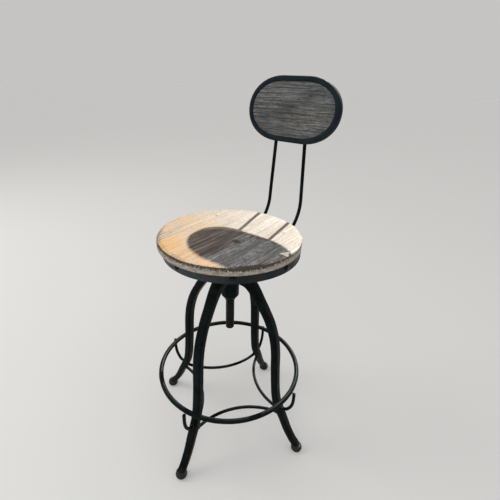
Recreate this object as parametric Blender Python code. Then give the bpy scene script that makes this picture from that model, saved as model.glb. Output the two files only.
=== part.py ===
"""Drafting chair: a screw-raised round seat with a small oval back, on four bent legs with a foot ring.

The screw's axis is the Z axis of every sub-part. The back is towards +Y, and left and right are the sitter's.
"""
import math

import bmesh
import bpy
from mathutils import Vector

# Placing of the whole chair, so that its outline is centred over the origin.
CHAIR_X = 0.0
CHAIR_Y = -0.014322

# How far the base stands turned under the seat, in degrees.
BASE_TURN = 6.5
LEG_ANGLES = {"left": 0.0, "back": 90.0, "right": 180.0, "front": 270.0}

# Running gap between two pieces that touch.
GAP = 0.0003

# Wooden seat with a rebated lower edge, and the steel band round the rebate.
SEAT_RADIUS = 0.180
SEAT_OFF_CENTRE = (-0.0009, -0.0007)
SEAT_TOP = 0.6413
SEAT_EDGE_BOTTOM = 0.6211
SEAT_CORE_BOTTOM = 0.6045
BAND_OFF_CENTRE = (0.0030, 0.0022)
BAND_OUTER = 0.1740
BAND_INNER = 0.1700
BAND_TOP = 0.6208
BAND_BOTTOM = 0.5990
BAND_BOLT_COUNT = 8
BAND_BOLT_TURN = 39.7
BAND_BOLT_HEIGHT = 0.6108
BAND_BOLT_HEAD = 0.00675
BAND_BOLT_SHANK = 0.003
BAND_BOLT_LENGTH = 0.024

# Steel plate under the seat, the screw and its nut-like hub.
PLATE_RADIUS = 0.088
PLATE_TOP = 0.6042
PLATE_BOTTOM = 0.5962
SCREW_RADIUS = 0.0119
SCREW_BOTTOM = 0.3525
SCREW_FLANGE_RADIUS = 0.030
SCREW_FLANGE_BOTTOM = 0.5879
HUB_BORE = 0.0120
HUB_RADIUS = 0.024
HUB_TOP = 0.548
HUB_SHOULDER = 0.4635
HUB_BOTTOM = 0.449
WASHER_TOP = 0.5513

# One leg: distance from the axis, height, thickness in its own plane and width across.
LEG_STATIONS = [
    (0.0244, 0.5255, 0.0340, 0.0310),
    (0.0400, 0.5245, 0.0318, 0.0298),
    (0.0560, 0.5185, 0.0288, 0.0284),
    (0.0685, 0.5080, 0.0265, 0.0275),
    (0.0805, 0.4920, 0.0245, 0.0267),
    (0.0945, 0.4710, 0.0227, 0.0257),
    (0.1075, 0.4505, 0.0215, 0.0252),
    (0.1195, 0.4300, 0.0209, 0.0248),
    (0.1285, 0.4100, 0.0209, 0.0248),
    (0.1355, 0.3900, 0.0209, 0.0248),
    (0.1430, 0.3600, 0.0209, 0.0248),
    (0.1480, 0.3200, 0.0209, 0.0247),
    (0.1510, 0.2600, 0.0207, 0.0246),
    (0.1550, 0.2100, 0.0206, 0.0245),
    (0.1590, 0.1750, 0.0207, 0.0244),
    (0.1650, 0.1500, 0.0208, 0.0243),
    (0.1760, 0.1250, 0.0207, 0.0241),
    (0.1880, 0.1000, 0.0202, 0.0234),
    (0.2030, 0.0670, 0.0196, 0.0223),
    (0.2200, 0.0385, 0.0190, 0.0211),
    (0.2340, 0.0215, 0.0187, 0.0203),
]
LEG_CORNER = 0.005
FOOT_DISTANCE = 0.2385
FOOT_PROFILE = [
    (0.0, 0.0),
    (0.0105, 0.0),
    (0.0142, 0.0022),
    (0.0160, 0.0065),
    (0.0160, 0.0110),
    (0.0145, 0.0165),
    (0.0115, 0.0205),
    (0.0, 0.0212),
]

# Foot ring, its four hooks and the four inward-bowed braces.
RING_RADIUS = 0.2008
RING_HEIGHT = 0.2127
RING_TUBE = 0.007
ROD = 0.0047
HOOK_PATH = [
    (0.176, 0.1330),
    (0.192, 0.1380),
    (0.201, 0.1470),
    (0.2085, 0.1610),
    (0.2120, 0.1760),
    (0.2128, 0.1900),
    (0.2128, 0.2120),
]
BRACE_HEIGHT = 0.120
BRACE_CENTRE = 0.2755
BRACE_RADIUS = 0.190
BRACE_HALF_ANGLE = 40.0

# Back rods: heights and distances behind the axis.
BACK_ROD = 0.0052
BACK_ROD_LOW = 0.5907
BACK_ROD_FRONT = -0.050
BACK_ROD_SPREAD = 0.0531
BACK_ROD_TAPER = 0.0429
BACK_ROD_BEND = 0.0851
BACK_ROD_LEAN = 0.03
BACK_ROD_AT = (0.2554, 0.75)

# Oval back: centre, lean and outline.
BACK_CENTRE = (0.2563, 0.9187)
BACK_LEAN = 9.7
BACK_HALF_WIDTH = 0.1400
BACK_HALF_HEIGHT = 0.0843
BACK_STRAIGHT = 0.0359
BACK_ROUNDNESS = 2.08
BACK_DEPTH = 0.020
BACK_RIM = 0.0140
BACK_PANEL_FRONT = 0.0165

# Clamp bars that hold the rods up against the plate.
CLAMP_Y = 0.043
CLAMP_HALF_LENGTH = 0.072
CLAMP_HALF_WIDTH = 0.008
CLAMP_THICKNESS = 0.004
CLAMP_BOLT_X = 0.064
CLAMP_BOLT_SHANK = 0.003
CLAMP_BOLT_HEAD = 0.0065


def clear_scene():
    for item in list(bpy.data.objects):
        bpy.data.objects.remove(item, do_unlink=True)


def make_material(name, colour, roughness, metallic):
    material = bpy.data.materials.new(name)
    material.use_nodes = True
    shader = material.node_tree.nodes["Principled BSDF"]
    shader.inputs["Base Color"].default_value = (*colour, 1.0)
    shader.inputs["Roughness"].default_value = roughness
    shader.inputs["Metallic"].default_value = metallic
    material.diffuse_color = (*colour, 1.0)
    return material


def make_empty(name, parent, turn=0.0):
    empty = bpy.data.objects.new(name, None)
    bpy.context.scene.collection.objects.link(empty)
    empty.parent = parent
    empty.rotation_euler[2] = math.radians(turn)
    return empty


def make_object(name, points, faces, material, parent, smooth=True):
    mesh = bpy.data.meshes.new(name)
    mesh.from_pydata([tuple(p) for p in points], [], faces)
    work = bmesh.new()
    work.from_mesh(mesh)
    bmesh.ops.recalc_face_normals(work, faces=work.faces)
    work.to_mesh(mesh)
    work.free()
    for polygon in mesh.polygons:
        polygon.use_smooth = smooth and len(polygon.vertices) <= 4
    mesh.materials.append(material)
    item = bpy.data.objects.new(name, mesh)
    bpy.context.scene.collection.objects.link(item)
    item.parent = parent
    return item


def skin(loops, closed):
    """Faces that join equal loops of points in order, with flat ends unless the run of loops is closed."""
    count = len(loops[0])
    points = [p for loop in loops for p in loop]
    faces = []
    spans = len(loops) if closed else len(loops) - 1
    for i in range(spans):
        here = i * count
        there = ((i + 1) % len(loops)) * count
        for j in range(count):
            k = (j + 1) % count
            faces.append((here + j, here + k, there + k, there + j))
    if not closed:
        faces.append(tuple(range(count)))
        faces.append(tuple(range((len(loops) - 1) * count, len(loops) * count)))
    return points, faces


def revolve(name, profile, segments, material, parent):
    """Turn a profile of (radius, height) points about Z. It starts and ends on the axis, or goes all the way round."""
    solid = profile[0][0] == 0.0
    rings = [p for p in profile if p[0] > 0.0]
    loops = []
    for radius, height in rings:
        loop = []
        for i in range(segments):
            angle = 2 * math.pi * i / segments
            loop.append(Vector((radius * math.cos(angle), radius * math.sin(angle), height)))
        loops.append(loop)
    points, faces = skin(loops, not solid)
    return make_object(name, points, faces, material, parent)


def smooth_path(stations, steps):
    """A Catmull-Rom curve through tuples of numbers, with equal steps between each two."""
    out = []
    last = len(stations) - 1
    for i in range(last):
        before = stations[max(i - 1, 0)]
        here = stations[i]
        there = stations[i + 1]
        after = stations[min(i + 2, last)]
        for s in range(steps):
            t = s / steps
            row = []
            for a, b, c, d in zip(before, here, there, after):
                bend = (2 * a - 5 * b + 4 * c - d) * t * t
                twist = (3 * b - a - 3 * c + d) * t * t * t
                row.append(0.5 * (2 * b + (c - a) * t + bend + twist))
            out.append(tuple(row))
    out.append(tuple(stations[last]))
    return out


def directions(path):
    out = []
    for i, point in enumerate(path):
        ahead = path[min(i + 1, len(path) - 1)]
        behind = path[max(i - 1, 0)]
        out.append((ahead - behind).normalized())
    return out


def rod_loops(path, radius, sides, flat_normal):
    """Round loops along a path that lies in one plane with the given normal."""
    loops = []
    for point, along in zip(path, directions(path)):
        across = along.cross(flat_normal).normalized()
        loop = []
        for i in range(sides):
            angle = 2 * math.pi * (i + 0.5) / sides
            loop.append(point + radius * (math.cos(angle) * across + math.sin(angle) * flat_normal))
        loops.append(loop)
    return loops


def cut_end(loop, along, plane_point, plane_normal):
    """Slide a loop's points along one direction until they lie in a plane."""
    fall = along.dot(plane_normal)
    return [p + along * ((plane_point - p).dot(plane_normal) / fall) for p in loop]


def drill(item, start, along, radius, depth):
    """Cut a round hole that starts a little outside the surface."""
    lead = 0.002
    work = bmesh.new()
    bmesh.ops.create_cone(
        work, cap_ends=True, segments=12, radius1=radius, radius2=radius, depth=depth + lead
    )
    mesh = bpy.data.meshes.new("drill")
    work.to_mesh(mesh)
    work.free()
    cutter = bpy.data.objects.new("drill", mesh)
    bpy.context.scene.collection.objects.link(cutter)
    cutter.rotation_mode = "QUATERNION"
    cutter.rotation_quaternion = along.to_track_quat("Z", "Y")
    cutter.location = start + along * (depth - lead) / 2
    cutter.parent = item.parent
    bpy.context.view_layer.update()
    modifier = item.modifiers.new("hole", "BOOLEAN")
    modifier.operation = "DIFFERENCE"
    modifier.solver = "EXACT"
    modifier.object = cutter
    graph = bpy.context.evaluated_depsgraph_get()
    cut = bpy.data.meshes.new_from_object(item.evaluated_get(graph))
    item.modifiers.clear()
    item.data = cut
    bpy.data.objects.remove(cutter, do_unlink=True)


def leg_point(height):
    """The leg's centre distance and its direction down the leg, at a height."""
    for upper, lower in zip(LEG_STATIONS, LEG_STATIONS[1:]):
        if upper[1] >= height >= lower[1]:
            part = (upper[1] - height) / (upper[1] - lower[1])
            distance = upper[0] + part * (lower[0] - upper[0])
            thickness = upper[2] + part * (lower[2] - upper[2])
            along = Vector((lower[0] - upper[0], 0.0, lower[1] - upper[1])).normalized()
            return Vector((distance, 0.0, height)), along, thickness
    return None


def leg_face(height, side):
    """A point and outward normal on the leg's inner (-1) or outer (+1) face."""
    centre, along, thickness = leg_point(height)
    normal = Vector((-along.z, 0.0, along.x)) * side
    return centre + normal * (thickness / 2 + GAP), normal


def rounded_section(thickness, width, corner):
    """Points round a rectangle with rounded corners, as (thickness way, width way)."""
    out = []
    for quarter in range(4):
        sign_a = (1, -1, -1, 1)[quarter]
        sign_b = (1, 1, -1, -1)[quarter]
        for step in range(3):
            angle = math.radians(90 * quarter + 45 * step)
            a = sign_a * (thickness / 2 - corner) + corner * math.cos(angle)
            b = sign_b * (width / 2 - corner) + corner * math.sin(angle)
            out.append((a, b))
    return out


def make_legs(parent, material):
    rows = smooth_path(LEG_STATIONS, 1)
    path = [Vector((row[0], 0.0, row[1])) for row in rows]
    ways = directions(path)
    ways[0] = Vector((1.0, 0.0, 0.0))
    loops = []
    for row, point, along in zip(rows, path, ways):
        normal = Vector((-along.z, 0.0, along.x))
        section = rounded_section(row[2], row[3], LEG_CORNER)
        loops.append([point + normal * a + Vector((0.0, b, 0.0)) for a, b in section])
    loops[-1] = cut_end(loops[-1], ways[-1], path[-1], Vector((0.0, 0.0, 1.0)))
    for name, angle in LEG_ANGLES.items():
        points, faces = skin(loops, False)
        leg = make_object("leg_" + name, points, faces, material, parent)
        leg.rotation_euler[2] = math.radians(angle)


def make_feet(parent, material):
    for name, angle in LEG_ANGLES.items():
        foot = revolve("foot_" + name, FOOT_PROFILE, 24, material, parent)
        turn = math.radians(angle)
        foot.location = (FOOT_DISTANCE * math.cos(turn), FOOT_DISTANCE * math.sin(turn), 0.0)


def make_hub(parent, material):
    profile = [
        (HUB_BORE, HUB_TOP),
        (0.0265, HUB_TOP),
        (0.0265, 0.545),
        (HUB_RADIUS, 0.5425),
        (HUB_RADIUS, HUB_SHOULDER),
        (0.0155, 0.4530),
        (0.0148, HUB_BOTTOM),
        (HUB_BORE, HUB_BOTTOM),
    ]
    revolve("hub", profile, 40, material, parent)


def make_foot_ring(parent, material):
    loops = []
    turns = 64
    for i in range(turns):
        angle = 2 * math.pi * i / turns
        out = Vector((math.cos(angle), math.sin(angle), 0.0))
        loop = []
        for j in range(10):
            around = 2 * math.pi * j / 10
            rise = Vector((0.0, 0.0, RING_HEIGHT + RING_TUBE * math.sin(around)))
            loop.append(out * (RING_RADIUS + RING_TUBE * math.cos(around)) + rise)
        loops.append(loop)
    points, faces = skin(loops, True)
    make_object("foot_ring", points, faces, material, parent)


def make_ring_hooks(parent, material):
    rows = smooth_path(HOOK_PATH, 2)
    path = [Vector((row[0], 0.0, row[1])) for row in rows]
    loops = rod_loops(path, ROD, 10, Vector((0.0, 1.0, 0.0)))
    face, normal = leg_face(path[0].z, 1)
    loops[0] = cut_end(loops[0], directions(path)[0], face, normal)
    loops.pop(1)
    for name, angle in LEG_ANGLES.items():
        points, faces = skin(loops, False)
        hook = make_object("ring_hook_" + name, points, faces, material, parent)
        hook.rotation_euler[2] = math.radians(angle)


def make_braces(parent, material):
    """Each brace bows in towards the axis between two legs and ends flush on their inner faces."""
    steps = 14
    face, normal = leg_face(BRACE_HEIGHT, -1)
    for side, angle in LEG_ANGLES.items():
        path = []
        for i in range(steps + 1):
            sweep = math.radians(180 - BRACE_HALF_ANGLE + 2 * BRACE_HALF_ANGLE * i / steps)
            x = BRACE_CENTRE + BRACE_RADIUS * math.cos(sweep)
            y = BRACE_RADIUS * math.sin(sweep)
            path.append(Vector((x, y, BRACE_HEIGHT)))
        loops = rod_loops(path, ROD, 10, Vector((0.0, 0.0, 1.0)))
        ways = directions(path)
        for index, turn in ((0, 45.0), (-1, -45.0)):
            spin = Vector((math.cos(math.radians(turn)), math.sin(math.radians(turn)), 0.0))
            point = spin * face.x + Vector((0.0, 0.0, face.z))
            facing = spin * normal.x + Vector((0.0, 0.0, normal.z))
            loops[index] = cut_end(loops[index], ways[index], point, facing)
        points, faces = skin(loops, False)
        brace = make_object("brace_" + side, points, faces, material, parent)
        brace.rotation_euler[2] = math.radians(angle + 45.0)


def make_washer(parent, material):
    bottom = HUB_TOP + GAP
    inner = SCREW_RADIUS + GAP
    profile = [(inner, bottom), (0.0235, bottom), (0.0235, WASHER_TOP), (inner, WASHER_TOP)]
    revolve("hub_washer", profile, 32, material, parent)


def make_screw(parent, material):
    profile = [
        (0.0, SCREW_BOTTOM),
        (SCREW_RADIUS - 0.0015, SCREW_BOTTOM),
        (SCREW_RADIUS, SCREW_BOTTOM + 0.0015),
        (SCREW_RADIUS, SCREW_FLANGE_BOTTOM - 0.008),
        (SCREW_RADIUS + 0.006, SCREW_FLANGE_BOTTOM),
        (SCREW_FLANGE_RADIUS, SCREW_FLANGE_BOTTOM),
        (SCREW_FLANGE_RADIUS, PLATE_BOTTOM - GAP),
        (0.0, PLATE_BOTTOM - GAP),
    ]
    revolve("screw", profile, 40, material, parent)


def clamp_bolt_places():
    return [(x, y) for y in (-CLAMP_Y, CLAMP_Y) for x in (-CLAMP_BOLT_X, CLAMP_BOLT_X)]


def bolt_angles():
    return [math.radians(BAND_BOLT_TURN + 360.0 * i / BAND_BOLT_COUNT) for i in range(BAND_BOLT_COUNT)]


def make_seat(parent, material):
    profile = [
        (0.0, SEAT_CORE_BOTTOM),
        (BAND_INNER - GAP, SEAT_CORE_BOTTOM),
        (BAND_INNER - GAP, SEAT_EDGE_BOTTOM),
        (SEAT_RADIUS, SEAT_EDGE_BOTTOM),
        (SEAT_RADIUS, SEAT_TOP - 0.0022),
        (SEAT_RADIUS - 0.0007, SEAT_TOP - 0.0007),
        (SEAT_RADIUS - 0.0022, SEAT_TOP),
        (0.0, SEAT_TOP),
    ]
    seat = revolve("seat_wood", profile, 72, material, parent)
    for vertex in seat.data.vertices:
        outer = math.hypot(vertex.co.x, vertex.co.y) > SEAT_RADIUS - 0.003
        shift = SEAT_OFF_CENTRE if outer else BAND_OFF_CENTRE
        vertex.co.x += shift[0]
        vertex.co.y += shift[1]
    for angle in bolt_angles():
        out = Vector((math.cos(angle), math.sin(angle), 0.0))
        start = out * (BAND_INNER - GAP) + Vector((*BAND_OFF_CENTRE, BAND_BOLT_HEIGHT))
        drill(seat, start, -out, BAND_BOLT_SHANK + GAP, BAND_BOLT_LENGTH)
    for x, y in clamp_bolt_places():
        start = Vector((x, y, SEAT_CORE_BOTTOM))
        drill(seat, start, Vector((0.0, 0.0, 1.0)), CLAMP_BOLT_SHANK + GAP, 0.020)


def make_band(parent, material):
    profile = [
        (BAND_INNER, BAND_BOTTOM),
        (BAND_OUTER, BAND_BOTTOM),
        (BAND_OUTER, BAND_TOP),
        (BAND_INNER, BAND_TOP),
    ]
    band = revolve("seat_band", profile, 72, material, parent)
    band.location = (*BAND_OFF_CENTRE, 0.0)
    for angle in bolt_angles():
        out = Vector((math.cos(angle), math.sin(angle), 0.0))
        start = out * (BAND_OUTER + 0.001) + Vector((*BAND_OFF_CENTRE, BAND_BOLT_HEIGHT))
        drill(band, start, -out, BAND_BOLT_SHANK + GAP, 0.008)


def make_band_bolts(parent, material):
    tip = -(BAND_OUTER - BAND_INNER) - BAND_BOLT_LENGTH + 0.002
    profile = [
        (0.0, tip),
        (BAND_BOLT_SHANK, tip),
        (BAND_BOLT_SHANK, GAP),
        (BAND_BOLT_HEAD, GAP),
        (BAND_BOLT_HEAD * 0.93, 0.0018),
        (BAND_BOLT_HEAD * 0.68, 0.0036),
        (BAND_BOLT_HEAD * 0.25, 0.0045),
        (0.0, 0.0045),
    ]
    for i, angle in enumerate(bolt_angles()):
        bolt = revolve("band_bolt_%d" % (i + 1), profile, 12, material, parent)
        bolt.rotation_euler = (0.0, math.pi / 2, angle)
        out = Vector((math.cos(angle), math.sin(angle), 0.0))
        bolt.location = out * BAND_OUTER + Vector((*BAND_OFF_CENTRE, BAND_BOLT_HEIGHT))


def make_plate(parent, material):
    profile = [
        (0.0, PLATE_BOTTOM),
        (PLATE_RADIUS - 0.001, PLATE_BOTTOM),
        (PLATE_RADIUS, PLATE_BOTTOM + 0.001),
        (PLATE_RADIUS, PLATE_TOP),
        (0.0, PLATE_TOP),
    ]
    plate = revolve("seat_plate", profile, 48, material, parent)
    for x, y in clamp_bolt_places():
        start = Vector((x, y, PLATE_BOTTOM - 0.001))
        drill(plate, start, Vector((0.0, 0.0, 1.0)), CLAMP_BOLT_SHANK + GAP, 0.012)


def make_clamps(parent, material):
    top = BACK_ROD_LOW - BACK_ROD - GAP
    for name, y in (("front", -CLAMP_Y), ("back", CLAMP_Y)):
        loops = []
        for z in (top - CLAMP_THICKNESS, top):
            loop = []
            for sign_x, sign_y in ((1, 1), (-1, 1), (-1, -1), (1, -1)):
                loop.append(Vector((sign_x * CLAMP_HALF_LENGTH, y + sign_y * CLAMP_HALF_WIDTH, z)))
            loops.append(loop)
        points, faces = skin(loops, False)
        clamp = make_object("rod_clamp_" + name, points, faces, material, parent, smooth=False)
        for x in (-CLAMP_BOLT_X, CLAMP_BOLT_X):
            start = Vector((x, y, top - CLAMP_THICKNESS - 0.001))
            drill(clamp, start, Vector((0.0, 0.0, 1.0)), CLAMP_BOLT_SHANK + GAP, 0.008)


def make_clamp_bolts(parent, material):
    under = BACK_ROD_LOW - BACK_ROD - GAP - CLAMP_THICKNESS - GAP
    names = ("front_right", "front_left", "back_right", "back_left")
    loops = []
    for radius, z, sides in (
        (CLAMP_BOLT_HEAD, under - 0.005, 6),
        (CLAMP_BOLT_HEAD, under, 6),
        (CLAMP_BOLT_SHANK, under, 6),
        (CLAMP_BOLT_SHANK, SEAT_CORE_BOTTOM + 0.017, 6),
    ):
        angles = [2 * math.pi * i / sides for i in range(sides)]
        loops.append([Vector((radius * math.cos(a), radius * math.sin(a), z)) for a in angles])
    points, faces = skin(loops, False)
    for name, (x, y) in zip(names, clamp_bolt_places()):
        bolt = make_object("clamp_bolt_" + name, points, faces, material, parent, smooth=False)
        bolt.location = (x, y, 0.0)


def fillet(corners, radii, steps):
    """A path through corners, each inner one rounded with its own radius."""
    out = [corners[0]]
    for before, corner, after, radius in zip(corners, corners[1:], corners[2:], radii):
        back = (before - corner).normalized()
        on = (after - corner).normalized()
        half = math.acos(max(-1.0, min(1.0, back.dot(on)))) / 2
        centre = corner + (back + on).normalized() * (radius / math.sin(half))
        first = corner + back * (radius / math.tan(half))
        last = corner + on * (radius / math.tan(half))
        for i in range(steps + 1):
            blend = i / steps
            way = (first - centre).normalized().slerp((last - centre).normalized(), blend)
            out.append(centre + way * radius)
    out.append(corners[-1])
    return out


def make_back_rods(parent, material):
    """Each rod runs back under the seat, bends up, and leans back behind the oval."""
    lean = math.radians(BACK_LEAN)
    behind = BACK_DEPTH / 2 + BACK_ROD + GAP
    up = Vector((0.0, math.sin(lean), math.cos(lean)))
    rear = Vector((0.0, BACK_CENTRE[0], BACK_CENTRE[1])) + behind * Vector((0.0, up.z, -up.y))
    stem_y = BACK_ROD_AT[0] - BACK_ROD_LEAN * BACK_ROD_AT[1]
    slope = up.y / up.z
    knee_z = (rear.y - slope * rear.z - stem_y) / (BACK_ROD_LEAN - slope)
    corners = [
        Vector((0.0, BACK_ROD_FRONT, BACK_ROD_LOW)),
        Vector((0.0, stem_y + BACK_ROD_LEAN * BACK_ROD_LOW, BACK_ROD_LOW)),
        Vector((0.0, stem_y + BACK_ROD_LEAN * knee_z, knee_z)),
        rear + up * 0.030,
    ]
    path = fillet(corners, (BACK_ROD_BEND, 0.06), 10)
    bend_top = BACK_ROD_LOW + BACK_ROD_BEND
    loops = rod_loops(path, BACK_ROD, 10, Vector((1.0, 0.0, 0.0)))
    for name, side in (("left", 1), ("right", -1)):
        moved = []
        for point, loop in zip(path, loops):
            shift = side * (BACK_ROD_SPREAD - BACK_ROD_TAPER * max(0.0, point.z - bend_top))
            moved.append([p + Vector((shift, 0.0, 0.0)) for p in loop])
        points, faces = skin(moved, False)
        make_object("back_rod_" + name, points, faces, material, parent)


def oval(inset, count):
    """Outline points of the back, counted round from the sitter's left, moved in by an inset."""
    outline = []
    for i in range(count):
        angle = 2 * math.pi * (i + 0.5) / count
        c = math.cos(angle)
        s = math.sin(angle)
        power = 2 / BACK_ROUNDNESS
        x = math.copysign(BACK_STRAIGHT + (BACK_HALF_WIDTH - BACK_STRAIGHT) * abs(c) ** power, c)
        outline.append(Vector((x, math.copysign(BACK_HALF_HEIGHT * abs(s) ** power, s), 0.0)))
    out = []
    for i, point in enumerate(outline):
        along = outline[(i + 1) % count] - outline[i - 1]
        normal = Vector((-along.y, along.x, 0.0)).normalized()
        out.append(point + normal * inset)
    return out


def back_loops(steps, count):
    return [[Vector((p.x, p.y, depth)) for p in oval(inset, count)] for inset, depth in steps]


def place_on_back(item):
    """Turn a piece drawn flat, front up, to stand as the back does."""
    lean = math.radians(BACK_LEAN)
    item.rotation_euler = (math.pi / 2 - lean, 0.0, 0.0)
    half = BACK_DEPTH / 2
    item.location = (0.0, BACK_CENTRE[0] + half * math.cos(lean), BACK_CENTRE[1] - half * math.sin(lean))


def make_back_pan(parent, material):
    steps = [
        (0.0025, 0.0),
        (0.0, 0.0025),
        (0.0, 0.0140),
        (0.0016, 0.0180),
        (0.0052, BACK_DEPTH),
        (0.0095, BACK_DEPTH),
        (BACK_RIM, 0.0185),
        (BACK_RIM, 0.0025),
    ]
    points, faces = skin(back_loops(steps, 64), False)
    place_on_back(make_object("back_pan", points, faces, material, parent))


def make_back_panel(parent, material):
    edge = BACK_RIM + GAP
    steps = [(edge, 0.0028), (edge, BACK_PANEL_FRONT - 0.0008), (edge + 0.0008, BACK_PANEL_FRONT)]
    points, faces = skin(back_loops(steps, 64), False)
    place_on_back(make_object("back_panel", points, faces, material, parent))


def main():
    clear_scene()
    steel = make_material("black_steel", (0.035, 0.042, 0.045), 0.45, 0.85)
    iron = make_material("bright_worn_screw", (0.09, 0.09, 0.09), 0.38, 0.9)
    rubber = make_material("foot_rubber", (0.02, 0.02, 0.02), 0.8, 0.0)
    seat_wood = make_material("seat_timber", (0.42, 0.33, 0.25), 0.7, 0.0)
    back_wood = make_material("back_timber", (0.20, 0.18, 0.165), 0.75, 0.0)
    chair = make_empty("chair", None)
    chair.location = (CHAIR_X, CHAIR_Y, 0.0)
    base = make_empty("base", chair, BASE_TURN)
    seat = make_empty("seat_axis", chair)
    make_hub(base, steel)
    make_legs(base, steel)
    make_feet(base, rubber)
    make_foot_ring(base, steel)
    make_ring_hooks(base, steel)
    make_braces(base, steel)
    make_washer(seat, iron)
    make_screw(seat, iron)
    make_plate(seat, steel)
    make_seat(seat, seat_wood)
    make_band(seat, steel)
    make_band_bolts(seat, iron)
    make_back_rods(seat, steel)
    make_clamps(seat, steel)
    make_clamp_bolts(seat, iron)
    make_back_pan(seat, steel)
    make_back_panel(seat, back_wood)


main()
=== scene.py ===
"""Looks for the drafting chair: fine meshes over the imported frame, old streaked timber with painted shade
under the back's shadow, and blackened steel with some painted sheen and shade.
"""
import math

import bmesh
import bpy
from mathutils import Euler, Matrix, Vector, noise


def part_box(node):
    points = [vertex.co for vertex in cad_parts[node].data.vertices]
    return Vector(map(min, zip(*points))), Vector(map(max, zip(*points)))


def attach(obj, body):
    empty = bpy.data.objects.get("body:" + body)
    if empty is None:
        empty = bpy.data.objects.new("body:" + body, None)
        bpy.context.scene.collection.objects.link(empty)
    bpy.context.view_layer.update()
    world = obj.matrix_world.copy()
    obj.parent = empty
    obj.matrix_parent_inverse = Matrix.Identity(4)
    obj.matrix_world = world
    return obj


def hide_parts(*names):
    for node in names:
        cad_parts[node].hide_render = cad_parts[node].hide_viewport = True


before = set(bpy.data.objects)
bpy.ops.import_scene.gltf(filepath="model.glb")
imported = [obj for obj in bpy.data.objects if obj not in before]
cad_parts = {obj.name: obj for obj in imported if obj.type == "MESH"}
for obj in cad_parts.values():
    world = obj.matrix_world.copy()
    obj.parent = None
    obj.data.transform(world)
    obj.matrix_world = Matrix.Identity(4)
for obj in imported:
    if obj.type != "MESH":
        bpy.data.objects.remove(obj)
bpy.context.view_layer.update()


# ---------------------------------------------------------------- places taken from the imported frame


def centre_of(node):
    low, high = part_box(node)
    return (low + high) / 2


AXIS = centre_of("hub")
FOOT_LEFT = centre_of("foot_left")
FOOT_DISTANCE = math.hypot(FOOT_LEFT.x - AXIS.x, FOOT_LEFT.y - AXIS.y)
BASE_TURN = math.atan2(FOOT_LEFT.y - AXIS.y, FOOT_LEFT.x - AXIS.x)
SEAT_PLACE = Matrix.Translation((AXIS.x, AXIS.y, 0.0))
BASE_PLACE = SEAT_PLACE @ Matrix.Rotation(BASE_TURN, 4, "Z")
LEG_ANGLES = {"left": 0.0, "back": 90.0, "right": 180.0, "front": 270.0}

SEAT_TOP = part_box("seat_wood")[1].z
SEAT_CORE_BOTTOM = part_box("seat_wood")[0].z
SEAT_EDGE_DEPTH = 0.0202
SEAT_EDGE_BOTTOM = SEAT_TOP - SEAT_EDGE_DEPTH
SEAT_RADIUS = (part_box("seat_wood")[1].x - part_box("seat_wood")[0].x) / 2
SEAT_OFF_CENTRE = centre_of("seat_wood") - Vector((AXIS.x, AXIS.y, 0.0))
BAND_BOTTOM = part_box("seat_band")[0].z
BAND_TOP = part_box("seat_band")[1].z
BAND_OUTER = (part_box("seat_band")[1].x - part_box("seat_band")[0].x) / 2
BAND_THICKNESS = 0.004
BAND_INNER = BAND_OUTER - BAND_THICKNESS
BAND_OFF_CENTRE = centre_of("seat_band") - Vector((AXIS.x, AXIS.y, 0.0))
BAND_PLACE = Matrix.Translation((centre_of("seat_band").x, centre_of("seat_band").y, 0.0))
PLATE_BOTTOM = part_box("seat_plate")[0].z
PLATE_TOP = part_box("seat_plate")[1].z
PLATE_RADIUS = (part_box("seat_plate")[1].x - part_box("seat_plate")[0].x) / 2
SCREW_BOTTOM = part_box("screw")[0].z
SCREW_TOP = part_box("screw")[1].z
HUB_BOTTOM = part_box("hub")[0].z
HUB_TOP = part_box("hub")[1].z
WASHER_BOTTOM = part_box("hub_washer")[0].z
WASHER_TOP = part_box("hub_washer")[1].z
RING_TUBE = (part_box("foot_ring")[1].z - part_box("foot_ring")[0].z) / 2
RING_HEIGHT = centre_of("foot_ring").z
RING_RADIUS = (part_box("foot_ring")[1].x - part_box("foot_ring")[0].x) / 2 - RING_TUBE

# ---------------------------------------------------------------- sizes of single pieces

GAP = 0.0003
LATHE_CENTRE = 0.0004
SCREW_RADIUS = 0.0119
SCREW_PITCH = 0.008
SCREW_THREAD_DEPTH = 0.0013
SCREW_NECK = 0.016
SCREW_FLANGE_RADIUS = 0.030
SCREW_FLANGE_THICKNESS = 0.008
HUB_BORE = 0.0120
HUB_RADIUS = 0.024
HUB_LIP_RADIUS = 0.0265
HUB_LIP_BOTTOM = 0.5452
HUB_BARREL_TOP = 0.5425
HUB_BARREL_BOTTOM = 0.4635
HUB_NOSE_TOP = 0.4530
HUB_NOSE_RADII = (0.0155, 0.0148)
WASHER_RADIUS = 0.0235

# A leg's centre line: distance from the axis, height, thickness in its own plane and width across.
LEG_STATIONS = [
    (0.0244, 0.5255, 0.0340, 0.0310),
    (0.0400, 0.5245, 0.0318, 0.0298),
    (0.0560, 0.5185, 0.0288, 0.0284),
    (0.0685, 0.5080, 0.0265, 0.0275),
    (0.0805, 0.4920, 0.0245, 0.0267),
    (0.0945, 0.4710, 0.0227, 0.0257),
    (0.1075, 0.4505, 0.0215, 0.0252),
    (0.1195, 0.4300, 0.0209, 0.0248),
    (0.1285, 0.4100, 0.0209, 0.0248),
    (0.1355, 0.3900, 0.0209, 0.0248),
    (0.1430, 0.3600, 0.0209, 0.0248),
    (0.1480, 0.3200, 0.0209, 0.0247),
    (0.1510, 0.2600, 0.0207, 0.0246),
    (0.1550, 0.2100, 0.0206, 0.0245),
    (0.1590, 0.1750, 0.0207, 0.0244),
    (0.1650, 0.1500, 0.0208, 0.0243),
    (0.1760, 0.1250, 0.0207, 0.0241),
    (0.1880, 0.1000, 0.0202, 0.0234),
    (0.2030, 0.0670, 0.0196, 0.0223),
    (0.2200, 0.0385, 0.0190, 0.0211),
    (0.2340, 0.0215, 0.0187, 0.0203),
]
LEG_CORNER = 0.0052

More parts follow.
